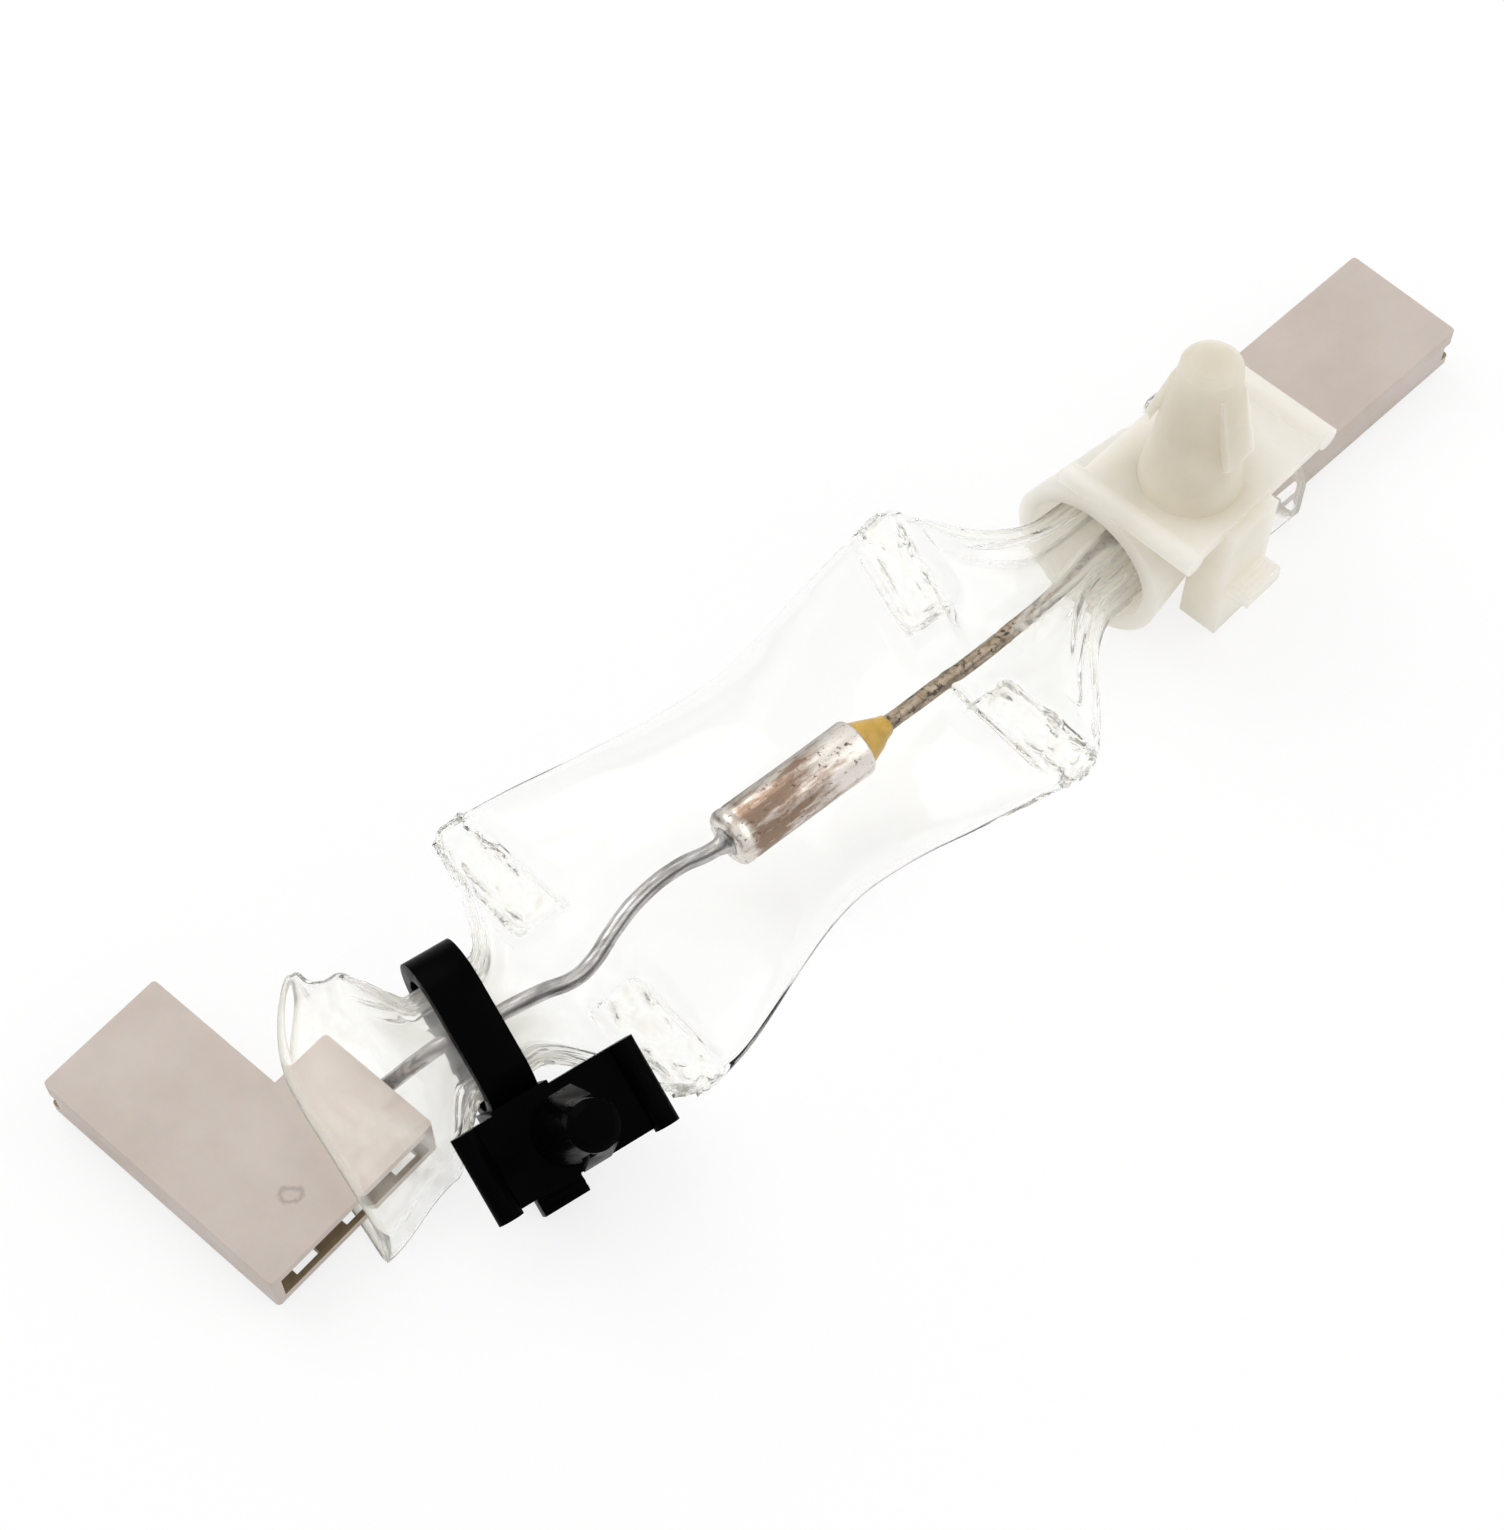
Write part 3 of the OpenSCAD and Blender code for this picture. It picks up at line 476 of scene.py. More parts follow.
@dataclass(frozen=True)
class TinPlate(Finish):
    """Tin-plated metal, drawn and handled: dull sheen, brown tarnish in streaks and specks.

    The stops of fade say how clean the plate is along the can, between fade_ends in mm. A painted
    dark reflection lies as a stripe along one side, where the height of the surface's normal is in
    shade_heights.
    """

    bright: str = "CFC6BC"
    tarnish: str = "94816F"
    speck: str = "5B4C40"
    # Colour of the painted dark reflection along one side.
    painted_reflection_band: str = "1C1917"
    streak: Spot = (2.4, 0.5, 0.5)
    relief: float = 0.02
    tones: Span = (0.66, 0.9)
    speck_size: float = 0.35
    speck_share: float = 0.66
    speck_edge: float = 0.05
    shine: Span = (0.24, 0.5)
    fade: Stops = ((0.0, 0.5), (1.0, 0.5))
    fade_ends: Span = (-5.5, 5.5)
    fade_weight: float = 0.6
    shade: float = 0.0
    shade_side: float = -1.0
    shade_gain: float = 4.0
    shade_heights: Spot = (0.45, 0.72, 0.93)

    def make(self) -> bpy.types.Material:
        """Makes the material, with streaks that run along the wire or the can.

        Returns:
            The new material.
        """
        material, tree, shader, _ = self.start()
        spot = add_node(tree, "ShaderNodeTexCoord").outputs["Object"]
        drawn = add_node(
            tree, "ShaderNodeMapping",
            {"Vector": spot, "Scale": tuple(per_metre(s) for s in self.streak)},
        )
        streaks = add_node(
            tree, "ShaderNodeTexNoise",
            {"Vector": drawn.outputs["Vector"], "Scale": 1.0, "Detail": 5.0, "Roughness": 0.62},
        )
        across = add_node(tree, "ShaderNodeSeparateXYZ", {"Vector": spot}).outputs["X"]
        start, end = (place((x, 0, 0)).x for x in self.fade_ends)
        shift = add_node(
            tree, "ShaderNodeMapRange", {"Value": across, "From Min": start, "From Max": end}
        )
        clean = add_node(tree, "ShaderNodeValToRGB", {"Fac": shift.outputs["Result"]})
        for stop, _ in self.fade[1:-1]:
            clean.color_ramp.elements.new(stop)
        for element, (_, grey) in zip(clean.color_ramp.elements, self.fade):
            element.color = (grey, grey, grey, 1)
        cleaner = add_node(
            tree, "ShaderNodeMath",
            {0: clean.outputs["Color"], 1: self.fade_weight, 2: streaks.outputs["Fac"]},
            operation="MULTIPLY_ADD",
        )
        colour = add_node(tree, "ShaderNodeValToRGB", {"Fac": cleaner.outputs[0]})
        tones = zip(colour.color_ramp.elements, self.tones, (self.tarnish, self.bright))
        for stop, position, code in tones:
            stop.position, stop.color = position, linear(code)
        specks = add_node(
            tree, "ShaderNodeTexNoise",
            {"Vector": spot, "Scale": per_metre(self.speck_size), "Detail": 3.0, "Roughness": 0.7},
        )
        share = add_node(
            tree, "ShaderNodeMapRange",
            {"Value": specks.outputs["Fac"], "From Min": self.speck_share - self.speck_edge,
             "From Max": self.speck_share + self.speck_edge},
        )
        worn = add_node(
            tree, "ShaderNodeMix",
            {0: share.outputs["Result"], 6: colour.outputs["Color"], 7: linear(self.speck)},
            data_type="RGBA",
        )
        gloss = add_node(
            tree, "ShaderNodeMapRange",
            {"Value": streaks.outputs["Fac"], "From Min": NOISE_SPAN[0], "From Max": NOISE_SPAN[1],
             "To Min": self.shine[1], "To Max": self.shine[0]},
        )
        bump = add_node(
            tree, "ShaderNodeBump", {"Height": streaks.outputs["Fac"], "Distance": self.relief * MM}
        )
        # Painted dark reflection: a stripe along one side, chosen by the height and side of the
        # normal.
        facing = add_node(tree, "ShaderNodeNewGeometry").outputs["Normal"]
        parts = add_node(tree, "ShaderNodeSeparateXYZ", {"Vector": facing})
        painted_reflection_band = add_node(tree, "ShaderNodeValToRGB", {"Fac": parts.outputs["Z"]})
        for stop, grey in zip(self.shade_heights, (0.0, 1.0, 0.0)):
            painted_reflection_band.color_ramp.elements.new(stop).color = (grey, grey, grey, 1)
        painted_reflection_band.color_ramp.elements[0].color = painted_reflection_band.color_ramp.elements[-1].color = (0, 0, 0, 1)
        side = add_node(
            tree, "ShaderNodeMath",
            {0: parts.outputs["Y"], 1: self.shade_gain * self.shade_side},
            operation="MULTIPLY",
            use_clamp=True,
        )
        amount = painted_reflection_band.outputs["Color"]
        for factor in (side.outputs[0], self.shade):
            product = add_node(tree, "ShaderNodeMath", {0: amount, 1: factor}, operation="MULTIPLY")
            amount = product.outputs[0]
        shaded = add_node(
            tree, "ShaderNodeMix",
            {0: amount, 6: worn.outputs[2], 7: linear(self.painted_reflection_band)},
            data_type="RGBA",
        )
        feed(tree, shader, {
            "Base Color": shaded.outputs[2],
            "Roughness": gloss.outputs["Result"],
            "Normal": bump.outputs["Normal"],
            "Metallic": 1.0,
        })
        return material


# Filled nylon, moulded with a satin skin: pinkish white with faint flow marks.
HOUSING_LOOK: dict[str, Any] = {
    "light": "CFC3BA", "dark": "C8BBB1", "patch": 6.0, "grain": 0.22, "relief": 0.012,
    "shine": (0.42, 0.58), "glow": 0.12, "glow_reach": 0.6,
}


class Finishes(Enum):
    """All finishes of the part."""

    # Soft PVC film of the sleeve, clear and glossy.
    FILM = ClearFilm("clear_pvc_film")
    # Filled nylon of the straight housing, and of the flag housing with its sink mark.
    HOUSING = Mottled("pinkish_moulded_nylon", **HOUSING_LOOK)
    FLAG_HOUSING = BlemishedNylon("pinkish_moulded_nylon_marked", **HOUSING_LOOK)
    # The same nylon inside the housings, painted darker and browner as the shade in the hollow.
    HOUSING_PAINTED_SHADE = Mottled(
        "nylon_with_painted_shade", light="9C8A6E", dark="7C6A4E", patch=3.0, grain=0.3, relief=0.02,
        shine=(0.5, 0.65),
    )
    # Black nylon with carbon black, moulded in a polished tool: deep and glossy.
    BLACK_NYLON = Mottled(
        "black_moulded_nylon", light="050506", dark="030304", patch=3.0, grain=0.6, relief=0.008,
        shine=(0.2, 0.34), mirror=0.012,
    )
    # Nylon without dye, moulded: milky, with a painted glow from within.
    NATURAL_NYLON = UndyedNylon("undyed_moulded_nylon")
    # Tin plate of the drawn can: bright at both ends, browned by handling in between;
    # a dark reflection along one side is painted on.
    CAN = TinPlate(
        "tarnished_tin_plate", bright="DED7D0", tarnish="8C7462", speck="5A483C",
        streak=(3.4, 0.8, 0.8), speck_share=0.64, shine=(0.2, 0.36),
        shade=0.72, shade_side=1.0, shade_heights=(0.1, 0.5, 0.9),
        fade=((0.0, 0.75), (0.07, 0.7), (0.14, 0.26), (0.55, 0.3), (0.85, 0.72), (1.0, 0.8)),
    )
    # Tinned copper of the lead on the can's closed end, still bright,
    # with a painted dark reflection along one side.
    TINNED_WIRE = TinPlate(
        "bright_tinned_copper", bright="BDBBB9", tarnish="8A8683", speck="6A6662", speck_share=0.74,
        shine=(0.12, 0.24), shade=0.85,
    )
    # The same wire on the resin's side, dulled and spotted by heat,
    # with a fainter painted dark reflection along one side.
    TARNISHED_WIRE = TinPlate(
        "tarnished_tinned_copper", bright="AFA08C", tarnish="84735E", speck="4A3F33",
        streak=(0.9, 0.4, 0.4), speck_share=0.57, shine=(0.35, 0.6), shade=0.4,
    )
    # Filled epoxy, poured and cured: hard, glossy and mustard yellow.
    RESIN = Mottled(
        "poured_yellow_epoxy", light="C09A34", dark="A17C1E", patch=1.2, grain=0.5, relief=0.03,
        shine=(0.22, 0.4), glow=0.3, glow_reach=0.4,
    )
    # Brass strip, stamped and left plain inside its housing.
    TERMINAL = Mottled(
        "stamped_brass_strip", light="B9A172", dark="8E7748", patch=2.0, grain=0.4, relief=0.01,
        shine=(0.28, 0.45), metallic=1.0,
    )
    # Spring steel of the springs and discs, drawn and rolled.
    STEEL = Mottled(
        "drawn_spring_steel", light="A9A9AA", dark="858587", patch=1.0, grain=0.2, relief=0.004,
        shine=(0.25, 0.4), metallic=1.0,
    )
    # Silvered copper strip of the sliding contact.
    CONTACT = Mottled(
        "silvered_contact_strip", light="D5CFBE", dark="B4AB93", patch=0.8, grain=0.2, relief=0.004,
        shine=(0.22, 0.35), metallic=1.0,
    )
    # Alumina of the bushing, fired without glaze.
    CERAMIC = Mottled(
        "unglazed_alumina", light="F0ECE2", dark="E2DCCE", patch=1.5, grain=0.15, relief=0.01,
        shine=(0.6, 0.75),
    )
    # Organic crystals of the pellet, pressed and waxy.
    PELLET = Mottled(
        "pressed_wax_pellet", light="EDE3BE", dark="D9CC9E", patch=1.0, grain=0.25, relief=0.015,
        shine=(0.5, 0.65), glow=0.2, glow_reach=0.5,
    )


def write_piece(
    mesh: bmesh.types.BMesh,
    name: str,
    finish: Finishes,
    replaces: str,
    crease: float = 40.0,
) -> bpy.types.Object:
    """Turns a bmesh into a dressed piece that rides on the part.

    Args:
        mesh: Finished shape, in metres in the part's frame. It is freed.
        name: Name of the new piece.
        finish: Its finish.
        replaces: Solid that it stands for.
        crease: Angle in degrees over which an edge stays sharp.

    Returns:
        The new object.
    """
    data = bpy.data.meshes.new(name)
    mesh.to_mesh(data)
    mesh.free()
    data.shade_smooth()
    data.set_sharp_from_angle(angle=math.radians(crease))
    piece = bpy.data.objects.new(name, data)
    bpy.context.scene.collection.objects.link(piece)
    data.materials.append(finish.value.material())
    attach(piece, "root")
    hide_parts(replaces)
    LOG.info("piece %s: %d faces, %s", name, len(data.polygons), finish.value.name)
    return piece


def softened_copy(node: str, rounding: float, steps: int = 2) -> bmesh.types.BMesh:
    """Copies a solid and rounds its sharp edges.

    Args:
        node: Name of the solid.
        rounding: Width of the rounding in millimetres.
        steps: Faces across each rounding.

    Returns:
        The softened copy, in metres in the part's frame.
    """
    mesh = bmesh.new()
    mesh.from_mesh(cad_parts[node].data)
    bmesh.ops.remove_doubles(mesh, verts=mesh.verts, dist=SAME_POINT_IN_SOLID)
    bmesh.ops.dissolve_limit(
        mesh, angle_limit=FLAT_ANGLE, verts=mesh.verts, edges=mesh.edges,
        use_dissolve_boundaries=False,
    )
    sharp = [e for e in mesh.edges if e.is_manifold and e.calc_face_angle() > SHARP_ANGLE]
    bmesh.ops.bevel(
        mesh, geom=sharp, offset=rounding * MM, offset_type="OFFSET", segments=steps, profile=0.5,
        affect="EDGES", clamp_overlap=True, material=-1,
    )
    return mesh


def spun(
    profile: Sequence[Span], axis_z: float, steps: int, mesh: bmesh.types.BMesh | None = None
) -> bmesh.types.BMesh:
    """Spins a profile round the can's axis.

    Args:
        profile: Pairs of place along the axis and radius, in millimetres.
        axis_z: Height of the axis above the table, in millimetres.
        steps: Faces round the axis.
        mesh: Mesh that gets the shape, if it isn't a new one.

    Returns:
        The mesh with the turned shape, in metres in the part's frame.
    """
    mesh = mesh or bmesh.new()
    points = [mesh.verts.new(place((x, 0, axis_z + r))) for x, r in profile]
    edges = [mesh.edges.new(pair) for pair in zip(points, points[1:])]
    bmesh.ops.spin(
        mesh, geom=points + edges, cent=place((0, 0, axis_z)), axis=(1, 0, 0), dvec=(0, 0, 0),
        angle=math.tau, steps=steps, use_merge=True, use_duplicate=False,
    )
    bmesh.ops.remove_doubles(mesh, verts=mesh.verts, dist=SAME_POINT)
    bmesh.ops.recalc_face_normals(mesh, faces=mesh.faces)
    return mesh


def arc(centre: Span, radius: float, start: float, end: float, steps: int) -> list[Span]:
    """Points of an arc in a profile.

    Args:
        centre: Middle of the arc.
        radius: Its radius.
        start: Angle of the first point, in degrees.
        end: Angle of the last point, in degrees.
        steps: Number of stretches.

    Returns:
        The points from start to end.
    """
    angles = (math.radians(mix(start, end, i / steps)) for i in range(steps + 1))
    return [(centre[0] + radius * math.cos(a), centre[1] + radius * math.sin(a)) for a in angles]


def swept_wire(route: Sequence[Spot], diameter: float) -> bmesh.types.BMesh:
    """Sweeps a round wire along a smooth route.

    Args:
        route: Given points, in millimetres from the can's middle.
        diameter: Diameter of the wire in millimetres.

    Returns:
        The wire, in metres in the part's frame, with closed ends.
    """
    curve = bpy.data.curves.new("wire_path", "CURVE")
    curve.dimensions = "3D"
    curve.bevel_depth = diameter / 2 * MM
    curve.bevel_resolution = 6
    curve.use_fill_caps = True
    curve.resolution_u = 8
    spline = curve.splines.new("BEZIER")
    spline.bezier_points.add(len(route) - 1)
    for knot, spot in zip(spline.bezier_points, route):
        knot.co = place(spot)
        knot.handle_left_type = knot.handle_right_type = "AUTO"
    holder = bpy.data.objects.new("wire_path", curve)
    bpy.context.scene.collection.objects.link(holder)
    bpy.context.view_layer.update()
    solved = holder.evaluated_get(bpy.context.evaluated_depsgraph_get())
    shape = bpy.data.meshes.new_from_object(solved)
    mesh = bmesh.new()
    mesh.from_mesh(shape)
    bmesh.ops.remove_doubles(mesh, verts=mesh.verts, dist=SAME_POINT)
    bmesh.ops.recalc_face_normals(mesh, faces=mesh.faces)
    bpy.data.objects.remove(holder)
    bpy.data.curves.remove(curve)
    bpy.data.meshes.remove(shape)
    return mesh


@dataclass
class ThermalCutOff:
    """The cut-off itself: can, resin, two leads and the sealed pieces inside.

    The groove and the sag are depths in the can's wall, the groove from its closed end on. The
    cone lies cone_base under the can's radius and cone_neck over the wire's, from the mouth on.
    The solder's radii, before the closed end, are shares of the wire's.
    """

    can_l: float = 11.0
    can_r: float = 2.0
    can_wall: float = 0.3
    corner_r: float = 0.6
    roll_r: float = 0.28
    lip_w: float = 0.5
    hole_gap: float = 0.03
    hole_rim: float = 0.2
    edge_in: float = 0.05
    groove: Stops = ((0.85, 0.0), (0.95, 0.05), (1.1, 0.05), (1.2, 0.01))
    sag: Stops = ((0.0, 0.03), (3.6, 0.015))
    lead_d: float = 1.1
    cone_l: float = 2.5
    cone_base: Stops = ((0.0, 0.38), (0.25, 0.42), (0.8, 0.62))
    cone_neck: Stops = ((1.3, 0.62), (1.9, 0.32), (2.5, 0.16), (2.56, 0.02))
    lump_size: float = 1.1
    lump_h: float = 0.09
    solder: Stops = ((1.0, 0.0), (1.0, 0.9), (0.55, 1.12), (0.2, 1.42), (0.02, 1.9), (0.02, 0.0))
    axis_z: float = 5.9
    case_lead_route: tuple[Spot, ...] = (
        (-5.6, 0, 5.9), (-6.9, 0.1, 5.9), (-8.8, 0.5, 5.9), (-12.2, 0.4, 5.9), (-15.1, -0.4, 5.9),
        (-17.5, -1.3, 6.0), (-19.0, -1.5, 6.1), (-21.2, -1.0, 6.3), (-24.2, -0.5, 6.4),
        (-26.5, -0.2, 6.5), (-28.3, 0.1, 6.4), (-29.5, 0.5, 5.45), (-30.4, 1.0, 4.2),
        (-31.0, 1.4, 3.2), (-31.94, 1.66, 2.5), (-34.3, 1.28, 2.5), (-36.7, 0.92, 2.5),
    )
    isolated_lead_route: tuple[Spot, ...] = (
        (3.6, 0, 5.9), (8.0, 0, 5.9), (12.0, 0, 5.9), (18.0, 0.1, 5.9), (24.0, 0.5, 5.9),
        (29.0, 1.2, 5.9), (34.0, 1.9, 5.6), (36.4, 2.2, 5.0), (38.3, 2.35, 3.7), (39.7, 2.45, 2.8),
        (41.1, 2.55, 2.5), (43.1, 2.7, 2.5), (45.1, 2.85, 2.5),
    )

    def build(self) -> None:
        """Builds and dresses all pieces of the cut-off."""
        self.build_can()
        self.build_resin()
        self.build_leads()
        self.dress_inside()

    def build_can(self) -> None:
        """Builds the drawn can: rounded closed end, rolled mouth, slightly sunk walls."""
        end, mouth = -self.can_l / 2, self.can_l / 2
        hole = self.lead_d / 2 + self.hole_gap
        outer, wall = self.can_r, self.can_wall
        bore = outer - wall
        lip = bore - self.lip_w
        profile = [(end + self.edge_in, hole), (end, hole + self.hole_rim)]
        profile += arc((end + self.corner_r, outer - self.corner_r), self.corner_r, 180, 90, 8)
        profile += [(end + x, outer - depth) for x, depth in self.groove]
        profile += [(x, outer - depth) for x, depth in self.sag]
        profile += arc((mouth - self.roll_r, outer - self.roll_r), self.roll_r, 90, 0, 6)
        profile += [(mouth - self.edge_in, lip), (mouth - wall, lip), (mouth - wall, bore)]
        profile += [(end + wall, bore), (end + wall, hole), (end + self.edge_in, hole)]
        mesh = spun(profile, self.axis_z, 96)
        write_piece(mesh, "can", Finishes.CAN, "fuse_case", 50)

    def build_resin(self) -> None:
        """Builds the poured cone, a little uneven, over the can's mouth."""
        start = self.can_l / 2
        wire = self.lead_d / 2
        profile = [(start, wire)]
        profile += [(start + x, self.can_r - below) for x, below in self.cone_base]
        profile += [(start + x, wire + above) for x, above in self.cone_neck]
        profile += [(start + self.cone_l, wire), (start, wire)]
        mesh = spun(profile, self.axis_z, 64)
        middle = place((0, 0, self.axis_z))
        for vertex in mesh.verts:
            out = Vector((0, vertex.co.y - middle.y, vertex.co.z - middle.z))
            if out.length > (wire + self.edge_in) * MM:
                lump = noise.noise(vertex.co * per_metre(self.lump_size))
                vertex.co += out.normalized() * lump * self.lump_h * MM
        write_piece(mesh, "resin_cone", Finishes.RESIN, "epoxy_seal", 60)

    def build_leads(self) -> None:
        """Builds both leads as smooth round wires, the first with its soldered root."""
        wire = self.lead_d / 2
        end = -self.can_l / 2
        mesh = swept_wire(self.case_lead_route, self.lead_d)
        root = [(end - x, wire * share) for x, share in self.solder]
        spun(root, self.axis_z, 48, mesh)
        write_piece(mesh, "case_lead_wire", Finishes.TINNED_WIRE, "case_lead", 60)
        mesh = swept_wire(self.isolated_lead_route, self.lead_d)
        finish = Finishes.TARNISHED_WIRE
        write_piece(mesh, "isolated_lead_wire", finish, "isolated_lead", 60)

    @staticmethod
    def dress_inside() -> None:
        """Gives the sealed pieces inside the can their finishes."""
        inside = {
            "ceramic_bushing": Finishes.CERAMIC,
            "thermal_pellet": Finishes.PELLET,
            "pellet_disc": Finishes.STEEL,
            "main_spring": Finishes.STEEL,
            "contact_disc": Finishes.STEEL,
            "star_contact": Finishes.CONTACT,
            "trip_spring": Finishes.STEEL,
        }
        for node, finish in inside.items():
            dress_solid(node, finish)


def dress_solid(node: str, finish: Finishes) -> None:
    """Gives a solid that shows as it is its finish.

    Args:
        node: Name of the solid.
        finish: Finish for all of it.
    """
    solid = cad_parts[node]
    solid.data.materials.clear()
    solid.data.materials.append(finish.value.material())
    LOG.info("solid %s: %s", node, finish.value.name)


@dataclass
class Sleeve:
    """Clear tube: pinched beside the can, gathered in both ties, flared over the connectors.

    All stops lie along the tube. Noise has a size, rates per mm and a last number that sets it
    apart. The inner bead has a share of the outer one's height, a width and an inset.
    """

    film: float = 0.4
    around: int = 192
    ends: Span = (-37.2, 43.5)
    bars: Span = (-17.6, 14.6)
    bar_w: float = 2.6
    bar_gap: float = 0.04
    bar_corner: float = 0.6
    bar_corner_from: float = 0.7
    ramp: float = 1.4
    core_w: float = 6.8
    core_h: float = 3.6
    core_rim: float = 0.5
    core_margin: float = 0.8
    ring_steps: Spot = (0.2, 0.4, 0.75)
    near_bar: float = 1.0
    necks: tuple[Span, ...] = ((-32.0, -22.0), (17.0, 40.0))
    bead_h: float = 0.48
    bead_w: float = 0.2
    inner_bead: Spot = (0.6, 0.16, 0.75)
    ragged: tuple[Spot, ...] = ((0.4, 0.9, 3.7), (0.22, 2.6, 5.1))
    broken: tuple[float, float, float, float] = (0.55, 0.9, 0.7, 1.3)
    half_w: Stops = (
        (-37.2, 9.1), (-30.8, 7.4), (-28.2, 4.0), (-24.15, 4.0), (-17.6, 11.8), (0, 8.9),
        (14.6, 11.8), (25.84, 4.2), (35.95, 3.15), (39.9, 6.1), (43.5, 6.1),
    )
    half_h: Stops = (
        (-37.2, 3.1), (-30.8, 3.1), (-28.2, 1.68), (-24.15, 1.68), (-17.6, 2.3), (0, 5.6),
        (14.6, 2.3), (25.84, 4.2), (35.95, 3.15), (39.9, 3.1), (43.5, 3.1),
    )
    mid_y: Stops = (
        (-37.2, 1.7), (-30.8, 1.6), (-28.2, -0.28), (-24.15, -0.73), (-17.6, -0.2), (0, 0.7),
        (14.6, 0.9), (25.84, 0.97), (35.95, 2.14), (39.9, 2.55), (43.5, 2.65),
    )
    mid_z: Stops = (
        (-37.2, 3.1), (-30.8, 3.1), (-28.2, 6.43), (-24.15, 6.43), (-17.6, 5.9), (14.6, 5.9),
        (25.84, 6.0), (35.95, 6.0), (39.9, 3.1), (43.5, 3.1),
    )
    lowest: float = 0.02
    power: Stops = (
        (-37.2, 5), (-30.8, 5), (-28.2, 2.4), (-24.15, 2.2), (0, 2), (35.95, 2), (39.9, 6),
        (43.5, 6),
    )
    roll: Stops = ((-30.8, 0), (-28.2, 26), (-24.15, 26), (-17.6, 9), (0, 0))
    shear: Stops = ((-30.8, 0.12), (-28.2, 0))
    curl: Stops = ((-37.2, 0.06), (-30.8, 0))
    curl_from: float = 1.0
    upper_slant: Stops = ((-24.15, 0), (-17.6, -0.15), (0, 0), (14.6, 0.3), (25.84, 0))
    lower_slant: Stops = ((-24.15, 0), (-17.6, 0.06), (0, 0), (14.6, 0.08), (25.84, 0))
    pleats: int = 9
    pleat: Stops = (
        (-30.5, 0), (-28.2, 0.2), (-24.3, 0.2), (-20.0, 0.08), (-17.6, 0), (16.5, 0), (19.0, 0.08),
        (25.0, 0.2), (36.2, 0.2), (39.5, 0),
    )
    pleat_sway: float = 1.7
    pleat_twist: float = 0.05
    crumple: Stops = (
        (-37.2, 0.04), (-31.0, 0.06), (-29.0, 0.02), (-24.0, 0.02), (-20.5, 0.1), (-17.6, 0.02),
        (-13.0, 0.06), (0, 0.02), (10.0, 0.06), (14.6, 0.02), (19.0, 0.1), (25.0, 0.03),
        (43.5, 0.02),
    )
    rise_size: float = 2.2
    rise_rates: Spot = (0.28, 0.42, 0.42)
    rise_below: float = 0.5
    sway_size: float = 1.2
    sway_rates: Spot = (0.3, 0.5, 7.3)
    frost: Stops = (
        (-37.2, 0.55), (-37.0, 0.5), (-36.9, 0.05), (-30.5, 0.02), (-28.2, 0.2), (-24.0, 0.2),
        (-21.5, 0), (20.0, 0), (25.5, 0.16), (28.0, 0.2), (37.0, 0.45), (40.0, 0), (42.9, 0),
        (43.1, 0.9), (43.5, 1.0),
    )
    frost_shift: float = 9.0
    # Whitish frost streaks over the flag housing: a painted sheen.
    sheen_streak_share: Stops = ((-37.0, 0.2), (-36.0, 0.4), (-32.0, 0.4), (-30.0, 0))
    sheen_streak_rates: Spot = (0.9, 0.12, 4.2)
    sheen_streak_slant: float = 0.5
    # Milky stripes over the lead into the large tie: painted highlights of the film's folds.
    fold_highlight_y: float = -2.0
    fold_highlight_spread: Stops = ((17.6, 0.25), (20.0, 0.8), (26.0, 2.3), (28.0, 2.5))
    fold_highlight_share: Stops = ((17.6, 0), (18.6, 0.8), (26.0, 0.9), (28.5, 0))
    fold_highlight_waves: float = 3.5
    fold_highlight_sway: Span = (0.5, 0.9)
    fold_highlight_edge: float = 1.5

    def off_bar(self, x: float) -> float:
        """Distance along the tube from x to the nearer row of bars."""
        return min(abs(x - bar) for bar in self.bars)

    def stations(self) -> list[float]:
        """Chooses the places of the rings along the tube.

        Returns:
            The places in order, closest together at the bars and closer at the necks.
        """
        at_bar, at_neck, elsewhere = self.ring_steps
        places = [self.ends[0]]
        while places[-1] < self.ends[1] - at_bar:
            x = places[-1]
            if self.off_bar(x) < self.bar_w / 2 + self.ramp + self.near_bar:
                step = at_bar
            elif any(low < x < high for low, high in self.necks):
                step = at_neck
            else:
                step = elsewhere
            places.append(x + step)
        places[-1] = self.ends[1]
        return places

    def pinched(self, x: float) -> float:
        """Share, from 0 to 1, by which the section at x is pressed flat."""
        return ease(1 - (self.off_bar(x) - self.bar_w / 2) / self.ramp)

    def bead(self, x: float, y: float) -> float:
        """Ridge of squeezed film round a welded bar.

        Args:
            x: Place along the tube, before any slant.
            y: Place across the tube from its middle.

        Returns:
            Height of the ridge in millimetres.
        """
        past = self.off_bar(x) - self.bar_w / 2
        side = abs(y) - self.core_w / 2 - self.core_rim
        if side < -self.core_margin:
            return 0.0
        ragged = 0.0
        for size, rate, seed in self.ragged:
            ragged += size * noise.noise(Vector((x * rate, y * rate, seed)))
        corner = math.hypot(max(0.0, past + self.bar_corner_from), max(0.0, self.bar_corner - side))
        edge = max(corner - self.bar_corner, past, -side) + ragged
        share, swing, rate, seed = self.broken
        broken = share + swing * noise.noise(Vector((x * rate, y * rate, seed)))
        outer = math.exp(-((edge / self.bead_w) ** 2))
        share, width, inset = self.inner_bead
        inner = share * math.exp(-(((edge + inset) / width) ** 2))
        return self.bead_h * max(0.0, min(1.0, broken)) * max(outer, inner)

